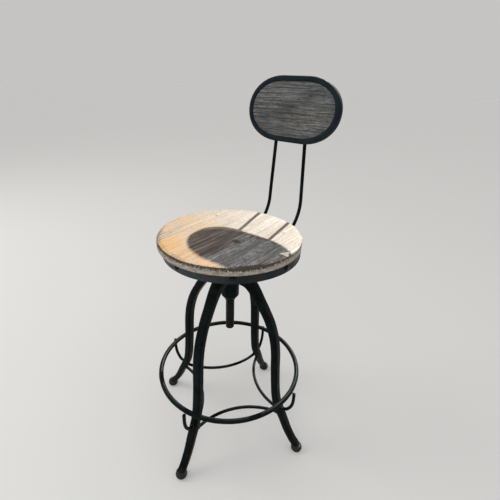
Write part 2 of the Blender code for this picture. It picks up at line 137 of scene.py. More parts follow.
# A foot's outline, and how much slimmer than the frame's foot its round one is drawn to stay inside.
FOOT_PROFILE = [
    (LATHE_CENTRE, 0.0),
    (0.0105, 0.0),
    (0.0142, 0.0022),
    (0.0160, 0.0065),
    (0.0160, 0.0110),
    (0.0145, 0.0165),
    (0.0115, 0.0205),
    (LATHE_CENTRE, 0.0212),
]
FOOT_SLIMMING = 0.988

ROD = 0.0047
ROD_BEAD = 0.0015
HUB_BEAD = 0.0021
BACK_BEAD = 0.0014
HOOK_PATH = [
    (0.176, 0.1330),
    (0.192, 0.1380),
    (0.201, 0.1470),
    (0.2085, 0.1610),
    (0.2120, 0.1760),
    (0.2128, 0.1900),
    (0.2128, 0.2120),
]
BRACE_HEIGHT = 0.120
BRACE_CENTRE = 0.2755
BRACE_RADIUS = 0.190
BRACE_HALF_ANGLE = 40.0

BACK_ROD = 0.0052
# The frame's rods have ten sides, so the round ones are drawn slimmer to stay inside them.
BACK_ROD_SLIMMING = 0.966
BACK_ROD_LOW = 0.5907
BACK_ROD_FRONT = -0.050
BACK_ROD_SPREAD = 0.0531
BACK_ROD_TAPER = 0.0429
BACK_ROD_BEND = 0.0851
BACK_ROD_KNEE = 0.06
BACK_ROD_REACH = 0.030
BACK_ROD_LEAN = 0.03
BACK_ROD_AT = (0.2554, 0.75)

BACK_CENTRE = (0.2563, 0.9187)
BACK_LEAN = 9.7
BACK_HALF_WIDTH = 0.1400
BACK_HALF_HEIGHT = 0.0843
BACK_STRAIGHT = 0.0359
BACK_ROUNDNESS = 2.08
BACK_DEPTH = 0.020
BACK_RIM = 0.0140
BACK_PANEL_FRONT = 0.0165

CLAMP_Y = 0.043
CLAMP_HALF_LENGTH = 0.072
CLAMP_HALF_WIDTH = 0.008
CLAMP_BOLT_X = 0.064
CLAMP_BOLT_SHANK = 0.003
CLAMP_BOLT_HEAD = 0.0065
CLAMP_BOLT_HEAD_HEIGHT = 0.0050

BAND_BOLT_COUNT = 8
BAND_BOLT_HEAD = 0.00675
BAND_BOLT_SHANK = 0.003
BAND_BOLT_LENGTH = 0.010
BAND_BOLT_BRIM = 0.0009
BAND_BOLT_DOME = 0.0036

# Marks on the seat, as places from the axis: across (sitter's left is +) and towards the back (+).
SEAT_KNOTS = [(0.041, -0.028, 0.0150, 0.0110), (-0.112, 0.072, 0.006, 0.005), (0.098, 0.093, 0.005, 0.004)]
SEAT_CHIP = (0.1690, -0.0075)
# The chip's three sides: each side's slope in x and y, and its distance from the chip's middle.
SEAT_CHIP_SIDES = ((0.0, -1.0, 0.0086), (1.5, 1.0, 0.0095), (-1.0, 0.55, 0.0105))
SEAT_ARRIS = 0.0024


# ---------------------------------------------------------------- shader helpers


def add(tree, kind, **settings):
    node = tree.nodes.new(kind)
    for key, value in settings.items():
        setattr(node, key, value)
    return node


def feed(tree, socket, value):
    """Join an output to a socket, or set the socket to a plain value."""
    if isinstance(value, bpy.types.NodeSocket):
        tree.links.new(value, socket)
    else:
        socket.default_value = value


def maths(tree, operation, first, second, clamp=False):
    node = add(tree, "ShaderNodeMath", operation=operation, use_clamp=clamp)
    feed(tree, node.inputs[0], first)
    feed(tree, node.inputs[1], second)
    return node.outputs[0]


def times(tree, first, second, clamp=False):
    return maths(tree, "MULTIPLY", first, second, clamp)


def plus(tree, first, second, clamp=False):
    return maths(tree, "ADD", first, second, clamp)


def minus(tree, first, second):
    return maths(tree, "SUBTRACT", first, second)


def spread(tree, value, low, high, to_low=0.0, to_high=1.0, smooth=True):
    """Stretch a value from one range to another, and hold it there."""
    node = add(tree, "ShaderNodeMapRange", interpolation_type="SMOOTHSTEP" if smooth else "LINEAR")
    feed(tree, node.inputs[0], value)
    node.inputs[1].default_value = low
    node.inputs[2].default_value = high
    feed(tree, node.inputs[3], to_low)
    feed(tree, node.inputs[4], to_high)
    return node.outputs[0]


def blend_colours(tree, amount, first, second, mode="MIX"):
    node = add(tree, "ShaderNodeMix", data_type="RGBA", blend_type=mode)
    feed(tree, node.inputs[0], amount)
    for socket, value in ((node.inputs[6], first), (node.inputs[7], second)):
        feed(tree, socket, (*value, 1.0) if isinstance(value, tuple) else value)
    return node.outputs[2]


def stretched(tree, vector, scale):
    node = add(tree, "ShaderNodeMapping")
    feed(tree, node.inputs[0], vector)
    node.inputs[3].default_value = scale
    return node.outputs[0]


def cloud(tree, vector, scale, detail=4.0, rough=0.55, warp=0.0):
    node = add(tree, "ShaderNodeTexNoise")
    feed(tree, node.inputs["Vector"], vector)
    feed(tree, node.inputs["Scale"], scale)
    node.inputs["Detail"].default_value = detail
    node.inputs["Roughness"].default_value = rough
    node.inputs["Distortion"].default_value = warp
    return node.outputs["Fac"]


def painted_mask(tree, name):
    """A mask laid on the mesh when it was shaped."""
    node = add(tree, "ShaderNodeAttribute", attribute_name=name, attribute_type="GEOMETRY")
    return node.outputs["Fac"]


def new_group(name, inputs, outputs):
    tree = bpy.data.node_groups.new(name, "ShaderNodeTree")
    for label, kind, value in inputs:
        socket = tree.interface.new_socket(name=label, in_out="INPUT", socket_type=kind)
        if value is not None:
            socket.default_value = value
    for label, kind in outputs:
        tree.interface.new_socket(name=label, in_out="OUTPUT", socket_type=kind)
    return tree, add(tree, "NodeGroupInput").outputs, add(tree, "NodeGroupOutput").inputs


def use_group(tree, group, **values):
    node = add(tree, "ShaderNodeGroup", node_tree=group)
    for label, value in values.items():
        feed(tree, node.inputs[label.replace("_", " ")], value)
    return node.outputs


def hand_out(tree, result, **values):
    for label, value in values.items():
        tree.links.new(value, result[label])


def new_material(name):
    material = bpy.data.materials.new(name)
    material.use_nodes = True
    tree = material.node_tree
    return material, tree, tree.nodes["Principled BSDF"]


def bump(tree, shader, height, strength, distance):
    node = add(tree, "ShaderNodeBump")
    node.inputs["Strength"].default_value = strength
    node.inputs["Distance"].default_value = distance
    feed(tree, node.inputs["Height"], height)
    tree.links.new(node.outputs[0], shader.inputs["Normal"])


# ---------------------------------------------------------------- shared surface effects


def metal_ageing_group():
    """Patches, pits, rubbed edges, scratches and settled dust on steel."""
    tree, given, result = new_group(
        "metal_ageing",
        [
            ("Patch Scale", "NodeSocketFloat", 30.0),
            ("Pit Scale", "NodeSocketFloat", 900.0),
            ("Edge Wear", "NodeSocketFloat", 0.5),
            ("Dust", "NodeSocketFloat", 0.4),
        ],
        [
            ("Patches", "NodeSocketFloat"),
            ("Pits", "NodeSocketFloat"),
            ("Worn", "NodeSocketFloat"),
            ("Dusty", "NodeSocketFloat"),
            ("Scratches", "NodeSocketFloat"),
        ],
    )
    place = add(tree, "ShaderNodeTexCoord")
    spot = place.outputs["Object"]
    patches = cloud(tree, spot, given["Patch Scale"], 6.0, 0.62, 0.4)
    pits = cloud(tree, spot, given["Pit Scale"], 3.0, 0.6)
    edge = add(tree, "ShaderNodeNewGeometry").outputs["Pointiness"]
    ridge = spread(tree, edge, 0.515, 0.62)
    rubbing = spread(tree, cloud(tree, spot, 140.0, 5.0, 0.7), 0.42, 0.66)
    worn = times(tree, times(tree, ridge, rubbing), given["Edge Wear"], True)
    facing = add(tree, "ShaderNodeSeparateXYZ")
    tree.links.new(place.outputs["Normal"], facing.inputs[0])
    upward = spread(tree, facing.outputs["Z"], 0.15, 0.95)
    settled = times(tree, upward, spread(tree, cloud(tree, spot, 75.0, 6.0, 0.75), 0.35, 0.7))
    dusty = times(tree, settled, given["Dust"], True)
    lines = cloud(tree, stretched(tree, spot, (260.0, 260.0, 14.0)), 1.0, 3.0, 0.7, 1.2)
    scratches = spread(tree, lines, 0.67, 0.74)
    patches = spread(tree, patches, 0.35, 0.65)
    hand_out(tree, result, Patches=patches, Pits=pits, Worn=worn, Dusty=dusty, Scratches=scratches)
    return tree


def wood_grain_group():
    """Streaks, fibres, dark year lines and open pores, with the grain along Y of the given place."""
    tree, given, result = new_group(
        "wood_grain",
        [
            ("Place", "NodeSocketVector", None),
            ("Warp", "NodeSocketFloat", 0.012),
        ],
        [
            ("Broad", "NodeSocketFloat"),
            ("Streaks", "NodeSocketFloat"),
            ("Lines", "NodeSocketFloat"),
            ("Fibres", "NodeSocketFloat"),
            ("Pores", "NodeSocketFloat"),
            ("Height", "NodeSocketFloat"),
        ],
    )
    sway = add(tree, "ShaderNodeTexNoise")
    tree.links.new(stretched(tree, given["Place"], (9.0, 3.2, 9.0)), sway.inputs["Vector"])
    sway.inputs["Scale"].default_value = 1.0
    sway.inputs["Detail"].default_value = 3.0
    centred = add(tree, "ShaderNodeVectorMath", operation="SUBTRACT")
    tree.links.new(sway.outputs["Color"], centred.inputs[0])
    centred.inputs[1].default_value = (0.5, 0.5, 0.5)
    scaled = add(tree, "ShaderNodeVectorMath", operation="SCALE")
    tree.links.new(centred.outputs[0], scaled.inputs[0])
    tree.links.new(given["Warp"], scaled.inputs["Scale"])
    moved = add(tree, "ShaderNodeVectorMath", operation="ADD")
    tree.links.new(given["Place"], moved.inputs[0])
    tree.links.new(scaled.outputs[0], moved.inputs[1])
    bent = moved.outputs[0]
    broad = cloud(tree, stretched(tree, bent, (24.0, 4.0, 10.0)), 1.0, 3.0, 0.55)
    streaks = cloud(tree, stretched(tree, bent, (185.0, 6.5, 60.0)), 1.0, 8.0, 0.68)
    year = add(tree, "ShaderNodeTexWave", wave_type="BANDS", bands_direction="X", wave_profile="SIN")
    tree.links.new(stretched(tree, bent, (1.0, 0.13, 0.5)), year.inputs["Vector"])
    year.inputs["Scale"].default_value = 46.0
    year.inputs["Distortion"].default_value = 6.0
    year.inputs["Detail"].default_value = 3.0
    year.inputs["Detail Scale"].default_value = 1.6
    rings = spread(tree, year.outputs["Fac"], 0.74, 0.98)
    broken = spread(tree, cloud(tree, stretched(tree, bent, (210.0, 9.0, 60.0)), 1.0, 4.0, 0.6), 0.42, 0.60)
    rings = times(tree, rings, broken)
    threads = cloud(tree, stretched(tree, bent, (400.0, 8.0, 120.0)), 1.0, 4.0, 0.6)
    threads = spread(tree, threads, 0.57, 0.66)
    lines = maths(tree, "MAXIMUM", rings, threads)
    fibres = cloud(tree, stretched(tree, bent, (1000.0, 26.0, 300.0)), 1.0, 3.0, 0.6)
    pores = cloud(tree, stretched(tree, bent, (620.0, 34.0, 200.0)), 1.0, 2.0, 0.5)
    pores = spread(tree, pores, 0.60, 0.70)
    height = minus(tree, times(tree, fibres, 0.5), times(tree, lines, 0.6))
    height = minus(tree, height, times(tree, pores, 0.5))
    hand_out(tree, result, Broad=broad, Streaks=streaks, Lines=lines)
    hand_out(tree, result, Fibres=fibres, Pores=pores, Height=height)
    return tree


METAL_AGEING = metal_ageing_group()
WOOD_GRAIN = wood_grain_group()


# ---------------------------------------------------------------- finishes

RUBBED_STEEL = (0.17, 0.165, 0.155)
SCRATCHED_STEEL = (0.10, 0.10, 0.10)
STEEL_DUST = (0.20, 0.19, 0.17)
# Painted shade laid on most of the band, all but its front quarter on the sitter's right.
BAND_SHADE_COLOUR = (0.0030, 0.0075, 0.0085)
SPLIT_WOOD = (0.88, 0.77, 0.67)


def steel_finish(name, dark, light, wear, dust, rough, shine, shade_one_side=False):
    """Blackened steel: uneven oxide, rubbed edges and a little dust where it faces up; on the black steel the
    lighter patch colour is partly painted sheen, and one side can be darkened with painted shade.
    """
    material, tree, shader = new_material(name)
    aged = use_group(tree, METAL_AGEING, Edge_Wear=wear, Dust=dust)
    colour = blend_colours(tree, aged["Patches"], dark, light)
    colour = blend_colours(tree, aged["Worn"], colour, RUBBED_STEEL)
    colour = blend_colours(tree, times(tree, aged["Scratches"], 0.25), colour, SCRATCHED_STEEL)
    colour = blend_colours(tree, aged["Dusty"], colour, STEEL_DUST)
    # Painted shade: darkens the band away from its lit front quarter.
    if shade_one_side:
        colour = blend_colours(tree, painted_mask(tree, "band_shade"), colour, BAND_SHADE_COLOUR)
    tree.links.new(colour, shader.inputs["Base Color"])
    gloss = spread(tree, aged["Patches"], 0.0, 1.0, rough - 0.07, rough + 0.10)
    gloss = plus(tree, gloss, times(tree, aged["Dusty"], 0.35))
    gloss = plus(tree, gloss, times(tree, aged["Pits"], 0.08), True)
    tree.links.new(gloss, shader.inputs["Roughness"])
    metal = spread(tree, aged["Worn"], 0.0, 1.0, 0.12, 0.95, False)
    tree.links.new(metal, shader.inputs["Metallic"])
    shader.inputs["Specular IOR Level"].default_value = shine
    height = plus(tree, aged["Pits"], times(tree, aged["Patches"], 0.6))
    height = minus(tree, height, times(tree, aged["Scratches"], 0.3))
    bump(tree, shader, height, 0.35, 0.0004)
    return material


def seat_timber_finish():
    """Old waxed board: cream and orange, grey and streaked in the middle under the back's shadow (partly real
    streaks, partly painted shade), stained at the arris.
    """
    material, tree, shader = new_material("seat_timber")
    place = add(tree, "ShaderNodeTexCoord").outputs["Object"]
    grain = use_group(tree, WOOD_GRAIN, Place=place, Warp=0.020)
    streak = spread(tree, grain["Streaks"], 0.40, 0.60)
    soft_streak = spread(tree, grain["Streaks"], 0.34, 0.66)
    broad = spread(tree, grain["Broad"], 0.38, 0.62)
    mottle = cloud(tree, stretched(tree, place, (150.0, 62.0, 100.0)), 1.0, 6.0, 0.72, 0.3)
    blush = spread(tree, cloud(tree, stretched(tree, place, (20.0, 9.0, 10.0)), 1.0, 4.0, 0.6), 0.40, 0.60)

    cream = blend_colours(tree, soft_streak, (0.270, 0.260, 0.236), (0.200, 0.178, 0.143))
    cream = blend_colours(tree, times(tree, blush, 0.38), cream, (0.285, 0.222, 0.158))
    honey = blend_colours(tree, soft_streak, (0.322, 0.206, 0.070), (0.300, 0.136, 0.030))
    honey = blend_colours(tree, times(tree, blush, 0.6), honey, (0.290, 0.190, 0.105))
    brown = blend_colours(tree, broad, (0.190, 0.138, 0.108), (0.240, 0.200, 0.170))
    grey_brown = blend_colours(tree, streak, brown, (0.060, 0.042, 0.033))
    silver = blend_colours(tree, streak, (0.425, 0.450, 0.460), (0.130, 0.130, 0.136))
    silver = blend_colours(tree, spread(tree, mottle, 0.46, 0.60), silver, (0.165, 0.155, 0.150))

    # Painted shade: this mask greys and darkens the wood where the back's shadow falls, along with some real
    # weathering streaks.
    shade_and_weathering = painted_mask(tree, "shade_and_weathering")
    warm = times(tree, painted_mask(tree, "honey"), spread(tree, grain["Broad"], 0.30, 0.56, 0.45, 1.0))
    colour = blend_colours(tree, warm, cream, honey)
    # Grey-brown blend: painted shade under the back's shadow, broken by real streaks.
    aged = plus(tree, shade_and_weathering, spread(tree, grain["Streaks"], 0.3, 0.7, -0.35, 0.35))
    aged = spread(tree, aged, 0.22, 0.70)
    colour = blend_colours(tree, aged, colour, grey_brown)
    # Pale blue-grey mottle, kept inside the back's shadow and strongest in the painted shade: partly a grey
    # board, partly painted shade.
    pale_grey_and_shade = plus(tree, painted_mask(tree, "grey_board_and_shade"), spread(tree, mottle, 0.3, 0.7, -0.30, 0.30))
    pale_grey_and_shade = times(tree, spread(tree, pale_grey_and_shade, 0.22, 0.72), spread(tree, shade_and_weathering, 0.0, 0.5, 0.45, 1.0))
    colour = blend_colours(tree, times(tree, pale_grey_and_shade, 0.92), colour, silver)

    # The grain lines, pores and rough grain are drawn darker inside the painted shade.
    line_depth = spread(tree, shade_and_weathering, 0.0, 0.8, 0.30, 0.70)
    colour = blend_colours(tree, times(tree, grain["Lines"], line_depth), colour, (0.070, 0.047, 0.034))
    pore_depth = times(tree, grain["Pores"], line_depth)
    colour = blend_colours(tree, times(tree, pore_depth, 0.5), colour, (0.055, 0.040, 0.030))
    rough_grain = cloud(tree, stretched(tree, place, (330.0, 46.0, 100.0)), 1.0, 5.0, 0.75, 0.4)
    rough_depth = spread(tree, shade_and_weathering, 0.0, 0.8, 0.22, 0.66)
    rough_grain = times(tree, spread(tree, rough_grain, 0.50, 0.64), rough_depth)
    colour = blend_colours(tree, rough_grain, colour, (0.062, 0.046, 0.037))
    pale_grain = cloud(tree, stretched(tree, place, (300.0, 20.0, 100.0)), 1.0, 4.0, 0.7)
    pale_grain = times(tree, spread(tree, pale_grain, 0.56, 0.68), rough_depth)
    colour = blend_colours(tree, pale_grain, colour, (0.330, 0.305, 0.270))
    colour = blend_colours(tree, 0.25, colour, grain["Fibres"], "OVERLAY")

    knot = painted_mask(tree, "knot")
    knot = plus(tree, knot, spread(tree, grain["Fibres"], 0.3, 0.7, -0.12, 0.12))
    knot = spread(tree, knot, 0.35, 0.75)
    colour = blend_colours(tree, times(tree, knot, 0.96), colour, (0.034, 0.029, 0.025))

    side = painted_mask(tree, "side")
    painted_stain = painted_mask(tree, "stain")
    rough_spots = cloud(tree, stretched(tree, place, (330.0, 330.0, 150.0)), 1.0, 5.0, 0.7)
    edge_streaks = cloud(tree, stretched(tree, place, (75.0, 75.0, 260.0)), 1.0, 5.0, 0.65)
    edge_streaks = spread(tree, edge_streaks, 0.35, 0.65)
    bark = blend_colours(tree, edge_streaks, (0.42, 0.385, 0.320), (0.24, 0.200, 0.160))
    speckle = spread(tree, rough_spots, 0.53, 0.62)
    speckle = times(tree, speckle, spread(tree, painted_stain, 0.0, 0.35, 0.35, 1.0))
    bark = blend_colours(tree, times(tree, speckle, 0.85), bark, (0.050, 0.034, 0.025))
    colour = blend_colours(tree, side, colour, bark)

    stain = plus(tree, painted_stain, spread(tree, rough_spots, 0.35, 0.65, -0.30, 0.30))
    stain = spread(tree, stain, 0.36, 0.62)
    colour = blend_colours(tree, times(tree, stain, 0.93), colour, (0.042, 0.026, 0.018))
    fresh = painted_mask(tree, "fresh")
    colour = blend_colours(tree, spread(tree, fresh, 0.40, 0.60), colour, SPLIT_WOOD)
    tree.links.new(colour, shader.inputs["Base Color"])

    gloss = spread(tree, grain["Streaks"], 0.3, 0.7, 0.50, 0.66)
    gloss = plus(tree, gloss, times(tree, side, 0.20), True)
    tree.links.new(gloss, shader.inputs["Roughness"])
    shader.inputs["Specular IOR Level"].default_value = 0.42
    height = plus(tree, grain["Height"], times(tree, rough_spots, side))
    bump(tree, shader, height, 0.55, 0.0009)
    return material


def back_timber_finish():
    """Dark grey-brown board with the grain across the back."""
    material, tree, shader = new_material("back_timber")
    place = add(tree, "ShaderNodeTexCoord").outputs["Object"]
    parts = add(tree, "ShaderNodeSeparateXYZ")
    tree.links.new(place, parts.inputs[0])
    turned = add(tree, "ShaderNodeCombineXYZ")
    for source, target in (("Z", "X"), ("X", "Y"), ("Y", "Z")):
        tree.links.new(parts.outputs[source], turned.inputs[target])
    grain = use_group(tree, WOOD_GRAIN, Place=turned.outputs[0], Warp=0.016)
    streak = spread(tree, grain["Streaks"], 0.41, 0.59)
    broad = spread(tree, grain["Broad"], 0.38, 0.62)
    pale = blend_colours(tree, broad, (0.222, 0.222, 0.206), (0.160, 0.174, 0.183))
    fine_grain = cloud(tree, stretched(tree, turned.outputs[0], (640.0, 34.0, 200.0)), 1.0, 4.0, 0.7)
    colour = blend_colours(tree, times(tree, streak, 0.62), pale, (0.040, 0.036, 0.033))
    fine_grain = spread(tree, fine_grain, 0.46, 0.62, 0.0, 0.65)
    colour = blend_colours(tree, fine_grain, colour, (0.030, 0.027, 0.026))
    scuff = cloud(tree, stretched(tree, turned.outputs[0], (230.0, 95.0, 200.0)), 1.0, 5.0, 0.75, 0.6)
    colour = blend_colours(tree, spread(tree, scuff, 0.53, 0.61, 0.0, 0.75), colour, (0.026, 0.024, 0.024))
    colour = blend_colours(tree, times(tree, grain["Lines"], 0.85), colour, (0.018, 0.015, 0.013))
    colour = blend_colours(tree, times(tree, grain["Pores"], 0.6), colour, (0.020, 0.016, 0.014))
    warm = spread(tree, painted_mask(tree, "warm"), 0.25, 0.9)
    warm = times(tree, warm, spread(tree, grain["Streaks"], 0.40, 0.62, 1.0, 0.2))
    colour = blend_colours(tree, times(tree, warm, 0.5), colour, (0.20, 0.105, 0.060))
    dark = painted_mask(tree, "dark")
    colour = blend_colours(tree, times(tree, dark, 0.75), colour, (0.020, 0.018, 0.018))
    colour = blend_colours(tree, 0.25, colour, grain["Fibres"], "OVERLAY")
    tree.links.new(colour, shader.inputs["Base Color"])
    tree.links.new(spread(tree, grain["Streaks"], 0.3, 0.7, 0.50, 0.70), shader.inputs["Roughness"])
    shader.inputs["Specular IOR Level"].default_value = 0.35
    bump(tree, shader, grain["Height"], 0.6, 0.0009)
    return material


def rubber_finish():
    material, tree, shader = new_material("foot_rubber")
    aged = use_group(tree, METAL_AGEING, Patch_Scale=60.0, Pit_Scale=1400.0, Edge_Wear=0.3, Dust=0.12)
    colour = blend_colours(tree, aged["Patches"], (0.0045, 0.0046, 0.0048), (0.0120, 0.0118, 0.0115))
    colour = blend_colours(tree, times(tree, aged["Worn"], 0.5), colour, (0.045, 0.043, 0.041))
    colour = blend_colours(tree, aged["Dusty"], colour, (0.15, 0.14, 0.13))
    tree.links.new(colour, shader.inputs["Base Color"])
    tree.links.new(spread(tree, aged["Patches"], 0.0, 1.0, 0.62, 0.80), shader.inputs["Roughness"])
    shader.inputs["Specular IOR Level"].default_value = 0.35
    bump(tree, shader, aged["Pits"], 0.4, 0.0003)
    return material


# The teal of the lighter patches is partly painted sheen, standing in for reflections on the legs, and partly
# uneven oxide.
BLACK_STEEL = steel_finish(
    "black_steel", (0.0012, 0.0015, 0.0017), (0.0030, 0.0072, 0.0078),
    wear=0.18, dust=0.03, rough=0.38, shine=0.05,
)
# The band's lighter grey is partly painted reflection of the bright floor on its front; the rest of the band
# is darkened with painted shade.
BAND_STEEL = steel_finish(
    "band_steel", (0.022, 0.029, 0.031), (0.040, 0.047, 0.049),
    wear=0.35, dust=0.10, rough=0.42, shine=0.24, shade_one_side=True,
)
PAN_STEEL = steel_finish(
    "pan_steel", (0.0075, 0.0125, 0.0165), (0.0140, 0.0225, 0.0285),
    wear=0.06, dust=0.05, rough=0.62, shine=0.08,
)
WELD_STEEL = steel_finish(
    "weld_steel", (0.0050, 0.0060, 0.0060), (0.0150, 0.0145, 0.0135),
    wear=0.25, dust=0.06, rough=0.48, shine=0.30,
)
SCREW_STEEL = steel_finish(
    "worn_steel", (0.0020, 0.0024, 0.0030), (0.0060, 0.0062, 0.0066),
    wear=0.30, dust=0.02, rough=0.30, shine=0.14,
)
BOLT_STEEL = steel_finish(
    "bolt_steel", (0.0010, 0.0011, 0.0012), (0.0028, 0.0028, 0.0030),
    wear=0.25, dust=0.02, rough=0.16, shine=0.22,
)
SEAT_TIMBER = seat_timber_finish()
BACK_TIMBER = back_timber_finish()
FOOT_RUBBER = rubber_finish()


# ---------------------------------------------------------------- mesh helpers


def make_piece(name, points, faces, material, body, place=SEAT_PLACE, crease=38.0, nodes=None):
    """A mesh in its place that moves with a body and replaces the node of its own name, or the given nodes."""
    mesh = bpy.data.meshes.new(name)
    mesh.from_pydata([tuple(place @ Vector(p)) for p in points], [], faces)
    work = bmesh.new()
    work.from_mesh(mesh)
    bmesh.ops.recalc_face_normals(work, faces=work.faces)
    work.to_mesh(mesh)
    work.free()
    for polygon in mesh.polygons:
        polygon.use_smooth = True
    mesh.set_sharp_from_angle(angle=math.radians(crease))
    mesh.materials.append(material)
    piece = bpy.data.objects.new(name, mesh)
    bpy.context.scene.collection.objects.link(piece)
    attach(piece, body)
    if nodes is None:
        nodes = [name]
    if nodes:
        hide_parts(*nodes)
    return piece


def clamped(value):
    return min(1.0, max(0.0, value))


def weather(piece, amount, size, seed):
    """Uneven surface, as forged or sawn: moves points in along their normals, never out."""
    shift = Vector((seed * 3.7, seed * 1.9, seed * 5.3))
    mesh = piece.data
    mesh.update()
    normals = [vertex.normal.copy() for vertex in mesh.vertices]
    for vertex, normal in zip(mesh.vertices, normals):
        value = noise.fractal(vertex.co / size + shift, 0.8, 2.0, 3)
        vertex.co -= normal * amount * clamped(0.5 + 0.6 * value)
    mesh.update()


def skin(loops, closed):
    """Points and faces of a skin over rings of points: closed on itself, or with a flat cap at each end."""
    count = len(loops[0])
    points = [p for loop in loops for p in loop]
    faces = []
    spans = len(loops) if closed else len(loops) - 1
    for i in range(spans):
        here = i * count
        there = ((i + 1) % len(loops)) * count
        for j in range(count):
            k = (j + 1) % count
            faces.append((here + j, here + k, there + k, there + j))
    if not closed:
        faces.append(tuple(range(count)))
        faces.append(tuple(range((len(loops) - 1) * count, len(loops) * count)))
    return points, faces


def soften(corners, radius, steps=4, closed=False):
    """Round the corners of a flat path with arcs, as far as its sides allow."""
    out = []
    count = len(corners)
    for i, corner in enumerate(corners):
        if not closed and i in (0, count - 1):
            out.append(tuple(corner))
            continue
        here = Vector(corner)
        before = Vector(corners[i - 1])
        after = Vector(corners[(i + 1) % count])
        reach = min(radius, (before - here).length * 0.45, (after - here).length * 0.45)
        first = here + (before - here).normalized() * reach
        last = here + (after - here).normalized() * reach
        for step in range(steps + 1):
            t = step / steps
            out.append(tuple(first * (1 - t) ** 2 + here * 2 * t * (1 - t) + last * t * t))
    return out


def lathe_loops(profile, segments):
    loops = []
    for radius, height in profile:
        loop = []
        for i in range(segments):
            angle = 2 * math.pi * i / segments
            loop.append(Vector((radius * math.cos(angle), radius * math.sin(angle), height)))
        loops.append(loop)
    return loops


def divided(profile, spacing, closed):
    """Add points along a profile's straight runs, so that its surface can be roughened by weather."""
    out = []
    count = len(profile)
    for i in range(count if closed else count - 1):
        radius, height = profile[i]
        after = profile[(i + 1) % count]
        parts = max(1, int(math.hypot(after[0] - radius, after[1] - height) / spacing))
        for step in range(parts):
            t = step / parts
            out.append((radius + (after[0] - radius) * t, height + (after[1] - height) * t))
    if not closed:
        out.append(profile[-1])
    return out


def catmull(stations, steps):
    """A smooth run of rows through the given ones."""
    out = []
    last = len(stations) - 1
    for i in range(last):
        before = stations[max(i - 1, 0)]
        here = stations[i]
        there = stations[i + 1]
        after = stations[min(i + 2, last)]
        for s in range(steps):
            t = s / steps
            row = []
            for a, b, c, d in zip(before, here, there, after):
                bend = (2 * a - 5 * b + 4 * c - d) * t * t
                twist = (3 * b - a - 3 * c + d) * t * t * t
                row.append(0.5 * (2 * b + (c - a) * t + bend + twist))
            out.append(tuple(row))
    out.append(tuple(stations[last]))
    return out


def directions(path, closed=False):
    out = []
    count = len(path)
    for i in range(count):
        ahead = path[(i + 1) % count] if closed else path[min(i + 1, count - 1)]
        behind = path[i - 1] if closed else path[max(i - 1, 0)]
        out.append((ahead - behind).normalized())
    return out


def rod_loops(path, radius, sides, flat_normal):
    """Rings round a path that lies in a plane with the given normal."""
    loops = []
    for point, along in zip(path, directions(path)):
        across = along.cross(flat_normal).normalized()
        loop = []
        for i in range(sides):
            angle = 2 * math.pi * (i + 0.5) / sides
            loop.append(point + radius * (math.cos(angle) * across + math.sin(angle) * flat_normal))
        loops.append(loop)
    return loops


def cut_end(loop, along, plane_point, plane_normal):
    """Slide a ring's points along a direction, onto a plane."""
    fall = along.dot(plane_normal)
    return [p + along * ((plane_point - p).dot(plane_normal) / fall) for p in loop]


def round_off(loops, end, along, radius):
    """Add shrinking loops at an end (0 or -1), for a softly rounded tip that stays inside the old end."""
    loop = loops[end]
    centre = sum(loop, Vector()) / len(loop)
    tip = []
    for turn in (20.0, 45.0, 70.0, 84.0):
        angle = math.radians(turn)
        slide = radius * 0.45 * (math.sin(angle) - 1.0)
        tip.append([centre + (p - centre) * math.cos(angle) ** 0.7 + along * slide for p in loop])
    start = [p - along * radius * 0.45 for p in loop]
    if end == -1:
        return loops[:-1] + [start] + tip
    return tip[::-1] + [start] + loops[1:]


def bead_loops(path, radius, closed, seed):
    """A weld bead: a lumpy rope of overlapping ripples."""
    loops = []
    sides = 8
    count = len(path)
    for i, (point, along) in enumerate(zip(path, directions(path, closed))):
        helper = Vector((0.0, 0.0, 1.0)) if abs(along.z) < 0.8 else Vector((1.0, 0.0, 0.0))
        across = along.cross(helper).normalized()
        upward = across.cross(along).normalized()
        ripple = 0.86 + 0.14 * math.cos(i * 2 * math.pi / 4)
        lump = 1.0 + 0.28 * noise.noise(point * 260.0 + Vector((seed, seed, seed)))
        size = radius * ripple * lump
        if not closed:
            size *= min(1.0, 0.45 + 0.4 * min(i, count - 1 - i))
        loop = []
        for j in range(sides):
            angle = 2 * math.pi * j / sides
            loop.append(point + size * (math.cos(angle) * across + math.sin(angle) * upward))
        loops.append(loop)
    return loops


def even_path(points, spacing, closed):
    """Points at even steps along a run of straight lines."""
    run = list(points) + ([points[0]] if closed else [])
    lengths = [(b - a).length for a, b in zip(run, run[1:])]
    total = sum(lengths)
    count = max(4, int(round(total / spacing)))
    out = []
    for i in range(count if closed else count + 1):
        goal = total * i / count
        for a, b, length in zip(run, run[1:], lengths):
            if goal <= length or b is run[-1]:
                out.append(a.lerp(b, min(1.0, goal / max(length, 1e-9))))
                break
            goal -= length
    return out


def weld(name, path, radius, closed, body, place, seed):
    run = even_path(path, radius * 0.55, closed)
    points, faces = skin(bead_loops(run, radius, closed, seed), closed)
    make_piece(name, points, faces, WELD_STEEL, body, place, 60.0, [])


# ---------------------------------------------------------------- base


def turned_base(angle):
    return BASE_PLACE @ Matrix.Rotation(math.radians(angle), 4, "Z")


